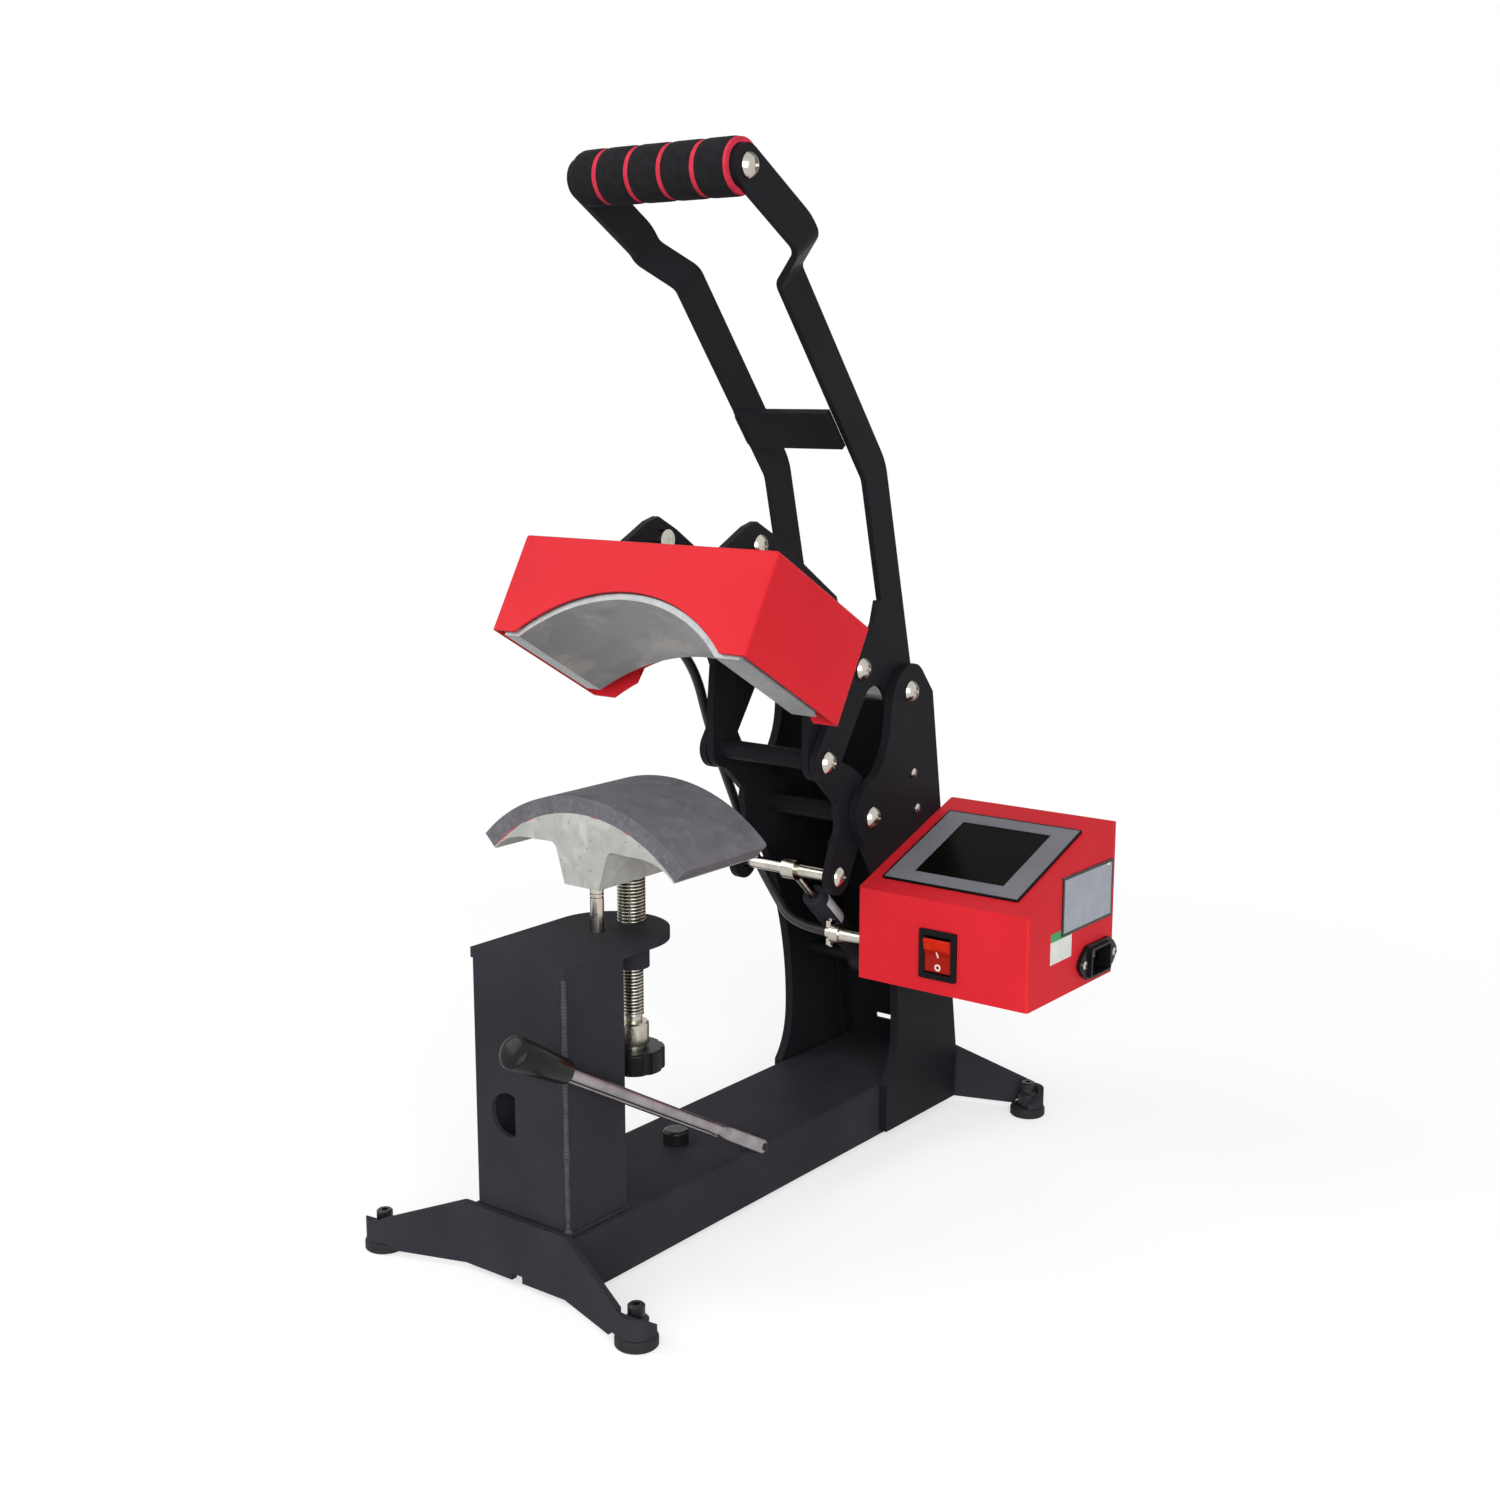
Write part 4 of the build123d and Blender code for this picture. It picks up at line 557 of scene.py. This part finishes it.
# ---------------------------------------------------------------- weld beads
bead("column_seam", [(35.3, 15.2, 40), (35.3, 15.2, 187)], 1.5, weld_coat, "base", seed=3)
bead("column_seam_end", [(36.2, 14.6, 38.5), (36.2, 14.6, 43.5)], 2.4, weld_coat, "base", seed=5)
bead("column_foot_weld",
     [(35.6, 16, 38.2), (35.6, 64.2, 38.2), (-35.6, 64.2, 38.2), (-35.6, 16, 38.2)],
     1.5, black_coat, "base", seed=7)
bead("foot_plate_weld", [(-40, 12.3, 38.6), (40, 12.3, 38.6)], 1.0, black_coat, "base", seed=9)
bead("top_plate_weld", [(34.6, 17, 185.6), (34.6, 63.6, 185.6)], 1.1, black_coat, "base", seed=11)
for side, word in ((-1, "left"), (1, "right")):
    bead(f"cross_plate_weld_{word}", [(side * 35.4, 257.8, 483.4), (side * 35.4, 273.4, 463.6)],
         1.3, arm_coat, "handle", seed=13 + side)

# ---------------------------------------------------------------- heater cable
# It leaves the gland on the shell's rear wall, hangs down behind the arm and turns to the right,
# into the plug on the control box's left side.
CABLE_R = 3.2
route = [(-56, 215.79, 342.66), (-56, 238.35, 329.73), (-58, 260, 276), (-59, 287, 226), (-55, 303, 186),
         (-38, 305, 160), (-14, 292, 146.3), (16.5, 292, 146.3)]


def nurbs_mesh(name, points, bevel):
    """Mesh of a quadratic NURBS spline with the route's corners as control points."""
    data = bpy.data.curves.new(name, "CURVE")
    data.dimensions = "3D"
    spline = data.splines.new("NURBS")
    spline.points.add(len(points) - 1)
    for at, p in zip(spline.points, points):
        at.co = (*row(*p), 1.0)
    spline.order_u = 3
    spline.use_endpoint_u = True
    data.resolution_u = 16
    data.bevel_depth = bevel * MM
    data.bevel_resolution = 6
    data.use_fill_caps = bevel > 0
    holder = bpy.data.objects.new(name, data)
    bpy.context.scene.collection.objects.link(holder)
    made = bpy.data.meshes.new_from_object(holder.evaluated_get(bpy.context.evaluated_depsgraph_get()))
    bpy.data.objects.remove(holder)
    return made


line = nurbs_mesh("cable_line", route, 0)
path = np.empty(len(line.vertices) * 3)
line.vertices.foreach_get("co", path)
path = path.reshape(-1, 3)
tube = nurbs_mesh("cable_tube", route, CABLE_R)
corners = np.empty(len(tube.vertices) * 3)
tube.vertices.foreach_get("co", corners)
cable = piece("heater_lead", corners.reshape(-1, 3), [list(p.vertices) for p in tube.polygons],
              jacket, None)
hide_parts("heater_cable")
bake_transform(cable)

# ---------------------------------------------------------------- control box details
label = [(BOX_RIGHT, 307.5, 148.2), (BOX_RIGHT, 334.5, 148.2), (BOX_RIGHT, 334.5, 168.0),
         (BOX_RIGHT, 307.5, 168.0)]
slab("side_label", label, (0.15, 0, 0), paper, "base")
# One rivet head at the blank plate's upper rear corner.
turned("plate_rivet", (1, 0, 0), (BOX_RIGHT + 0.8, 381.3, 198.6),
       [(-0.3, 0), (-0.3, 1.6), (0.2, 1.6), (0.6, 1.3), (0.9, 0.8), (1.0, 0)],
       bright_steel, "base", 24)

# Bright sleeves on the inlet's three flat pins.
INLET = (367.0, 139.5)           # Y and Z of the inlet's middle
for k, (y, z) in enumerate(((-7, -2), (0, 2), (7, -2))):
    blade = [(160.0, INLET[0] + y + a * 1.15, INLET[1] + z + b * 2.15)
             for a, b in ((-1, -1), (1, -1), (1, 1), (-1, 1))]
    slab(f"inlet_pin_{k}", blade, (11.6, 0, 0), bright_steel, "base")

# Marks on the rocker: a bar on its upper half and a ring on its lower half.
LEAN = math.radians(8.0)
SWITCH = (108.2, 284.5, 150.0)   # the rocker's pivot


def on_rocker(x, depth, z):
    """Points of the upright rocker, leaned with it."""
    c, s = math.cos(LEAN), math.sin(LEAN)
    return np.stack((SWITCH[0] + x, SWITCH[1] + depth * c - z * s, SWITCH[2] + depth * s + z * c), -1)


def face_depth(z):
    """The rocker's face in its own frame: nearest the hand at both tips, deepest at its middle."""
    return -5.6 - 1.4 * np.abs(z) / 10.3


bar_x = np.array((-0.3, 0.8, 0.1, -1.0))
bar_z = np.array((-0.8, -0.8, 3.0, 3.0))
slab("mark_on", on_rocker(bar_x, face_depth(bar_z) - 0.12, bar_z), (0, 0.3, 0), white_ink, "rocker")
turn = np.linspace(0, 2 * math.pi, 28, endpoint=False)
rings = []
for radius, rise in ((2.2, 0.25), (2.2, -0.12), (1.15, -0.12), (1.15, 0.25), (2.2, 0.25)):
    z = -7.2 + radius * np.sin(turn)
    rings.append(on_rocker(radius * np.cos(turn), face_depth(z) + rise, z))
piece("mark_off", row(np.concatenate(rings)), grid_faces(len(rings), len(turn), True), white_ink,
      "rocker")

# A blank label wrapped a third of the way round the gas strut's cylinder.
STRUT_R = 8.0
STRUT_LOW = np.array((3, 352, 112.0))        # the strut's lower joint
STRUT_HIGH = np.array((3, 267.9, 192.3))     # and its upper joint
ahead = (STRUT_HIGH - STRUT_LOW) / np.linalg.norm(STRUT_HIGH - STRUT_LOW)
up = np.cross(ahead, (1.0, 0, 0))
wrap = np.radians(np.linspace(-12, 100, 20))
arc = np.concatenate([r * np.stack((np.cos(w), np.sin(w)), -1)
                      for r, w in ((STRUT_R + 0.15, wrap), (STRUT_R - 0.1, wrap[::-1]))])
section = arc[:, :1] * np.array((1.0, 0, 0)) + arc[:, 1:] * up
points = np.concatenate([STRUT_LOW + ahead * s + section for s in (52.0, 76.0)])
piece("strut_label", row(points), grid_faces(2, len(arc), True) + caps(len(arc)), paper_white,
      "strut_cylinder")

# ---------------------------------------------------------------- saddle wings
# The cast saddle's wings run out to a thin edge under the pad's two ends: beyond 22 degrees from
# its crown, every point nearer the arc's centre than the pad's inner face is moved out towards it.
PAD_INNER_R = 97.3
PAD_CENTRE_Z = 165.8
saddle, corners = cad_copy("platen_saddle", "saddle_casting", "lower_platen")
dx = corners[:, 0] - row(0, 0, 0)[0]
dz = corners[:, 2] - PAD_CENTRE_Z * MM
reach = np.hypot(dx, dz)
angle = np.abs(np.degrees(np.arctan2(dx, dz)))
t = np.clip((angle - 22) / 22, 0, 1)
wanted = (PAD_INNER_R - 1.2) * MM
moved = np.where((reach < wanted) & (dz > 0), reach + (wanted - reach) * t * t * (3 - 2 * t), reach)
corners[:, 0] += dx * (moved / reach - 1)
corners[:, 2] += dz * (moved / reach - 1)
saddle.data.vertices.foreach_set("co", corners.ravel())
saddle.data.update()

# ---------------------------------------------------------------- heater shell
# The shell's rear wall is cut higher than its front: from just right of its left corner, the edge
# of the arch in that wall stands 8 mm further from the arch's centre, behind the casting.
ARCH_Z = 162.5                   # height of the arches' centre in the level heater
ARCH_R = 111.7
REAR_WALL = 162.0                # Y of the rear wall in the level heater
shell, corners = cad_copy("heater_shell", "shell_sheet", "heater_arm")
centre = row(0, *open_point(REAR_WALL, ARCH_Z))
away = np.array((0, math.sin(TILT), math.cos(TILT)))          # the level heater's upward, once open
back = np.array((0, math.cos(TILT), -math.sin(TILT)))         # and its rearward
dx = corners[:, 0] - centre[0]
dy = (corners - centre) @ back
dz = (corners - centre) @ away
reach = np.hypot(dx, dz)
edge = (np.abs(reach - ARCH_R * MM) < 0.4 * MM) & (dy > -3 * MM)
edge &= (dx > -62 * MM) & (dx < 74 * MM)
grow = np.where(edge, 8.0 * MM / reach, 0)
corners[:, 0] += dx * grow
corners += (dz * grow)[:, None] * away
shell.data.vertices.foreach_set("co", corners.ravel())
shell.data.update()
# Painted shadow: thin dark beads in the dull black rubber finish stand for the shade in the gap between
# the shell's front sheet and the casting behind it, and along the right lip.
GAP_R = ARCH_R - 0.1
turn = np.radians(np.linspace(-42, 42, 60))
arc = [(GAP_R * math.sin(t), *open_point(60.35, ARCH_Z + GAP_R * math.cos(t))) for t in turn]
bead("front_gap_shadow", arc, 0.4, rubber, "heater_arm", seed=31)
bead("right_gap_shadow", [(92.4, *open_point(y, 244.2)) for y in (61.5, 158.0)], 0.9, rubber, "heater_arm",
     seed=33)

# ---------------------------------------------------------------- glue along the pad's joint
# Each bead follows the pad's inner face at its cut front: between two angles from the crown its
# section is an ellipse whose size is random from place to place, averaged over five places, and
# falls to nothing at both ends.
chance = np.random.default_rng(21)
for k, (first, last, high) in enumerate(((-45.0, -29.0, 1.3), (-28.0, -20.5, 0.8), (4.0, 8.5, 0.7),
                                         (19.0, 22.0, 0.9))):
    angle = np.radians(np.linspace(first, last, 40))[:, None]
    blob = high * (0.35 + 0.65 * chance.random(40)) * np.sin(np.linspace(0, math.pi, 40)) ** 0.6
    blob = np.convolve(np.pad(blob, 2, mode="edge"), np.ones(5) / 5, "valid")[:, None]
    turn = np.linspace(0, 2 * math.pi, 8, endpoint=False)
    radius = PAD_INNER_R - 0.2 + 0.55 * blob * np.cos(turn)
    depth = PAD_FRONT + 0.1 - 0.35 * blob * np.sin(turn)
    ring = np.stack((radius * np.sin(angle), depth, PAD_CENTRE_Z + radius * np.cos(angle)), -1)
    piece(f"glue_{k}", row(ring.reshape(-1, 3)), grid_faces(len(angle), len(turn), True), glue,
          "lower_platen")

# ---------------------------------------------------------------- studio
AIM = (0.0, 0.0, 0.3)            # the middle of the object, roughly
LAMP_WIDTH = 1.5


def light(name, place, power):
    """A square area lamp of a power in watts that faces the object."""
    lamp = bpy.data.lights.new(name, "AREA")
    lamp.energy = power
    lamp.size = LAMP_WIDTH
    thing = bpy.data.objects.new(name, lamp)
    bpy.context.scene.collection.objects.link(thing)
    thing.location = place
    thing.rotation_euler = (Vector(AIM) - Vector(place)).to_track_quat("-Z", "Y").to_euler()


light("left", (-1.6, -1.35, 1.75), 17.4)
light("front", (0.4, -2.2, 0.5), 17)
light("right", (1.7, -1.5, 0.7), 39)


def seen(tree):
    """1 for camera, glossy and transmission rays, which see the background."""
    rays = add(tree, "LightPath")
    one = add(tree, "Math", operation="MAXIMUM", i0=rays.outputs["Is Camera Ray"],
              i1=rays.outputs["Is Glossy Ray"])
    return add(tree, "Math", operation="MAXIMUM", i0=one.outputs[0],
               i1=rays.outputs["Is Transmission Ray"]).outputs[0]


world = bpy.data.worlds.new("studio")
bpy.context.scene.world = world
world.use_nodes = True
tree = world.node_tree
sky = tree.nodes["Background"]
sky.inputs["Color"].default_value = (1, 1, 1, 1)
FILL = 0.43          # the studio's even light
strength = add(tree, "MapRange", Value=seen(tree), To_Min=FILL, To_Max=1.0)
tree.links.new(strength.outputs[0], sky.inputs["Strength"])

# Pale floor: it takes the object's shadow near it and turns into plain white away from it.
bpy.ops.mesh.primitive_plane_add(size=14, location=(0, 0, -0.0002))
floor = bpy.context.object
floor.name = "floor"
material = bpy.data.materials.new("pale floor")
material.use_nodes = True
tree = material.node_tree
shader = tree.nodes["Principled BSDF"]
shader.inputs["Base Color"].default_value = srgb("#c8c8c8")
shader.inputs["Roughness"].default_value = 0.9
shader.inputs["Specular IOR Level"].default_value = 0.0
rays = seen(tree)
white = add(tree, "Emission", Color=(1, 1, 1, 1), Strength=rays)
part_of = add(tree, "Math", operation="MULTIPLY", i0=rays, i1=0.6)
lift = add(tree, "Emission", Color=(1, 1, 1, 1), Strength=part_of.outputs[0])
near = add(tree, "AddShader", i0=shader.outputs[0], i1=lift.outputs[0])
away = add(tree, "VectorMath", operation="LENGTH", i0=add(tree, "TexCoord").outputs["Object"])
far = add(tree, "MapRange", Value=away.outputs["Value"], From_Min=0.35, From_Max=0.9)
mixed = add(tree, "MixShader", i0=far.outputs[0], i1=near.outputs[0], i2=white.outputs[0])
tree.links.new(mixed.outputs[0], tree.nodes["Material Output"].inputs["Surface"])
floor.data.materials.append(material)

bpy.context.scene.view_settings.view_transform = "Standard"
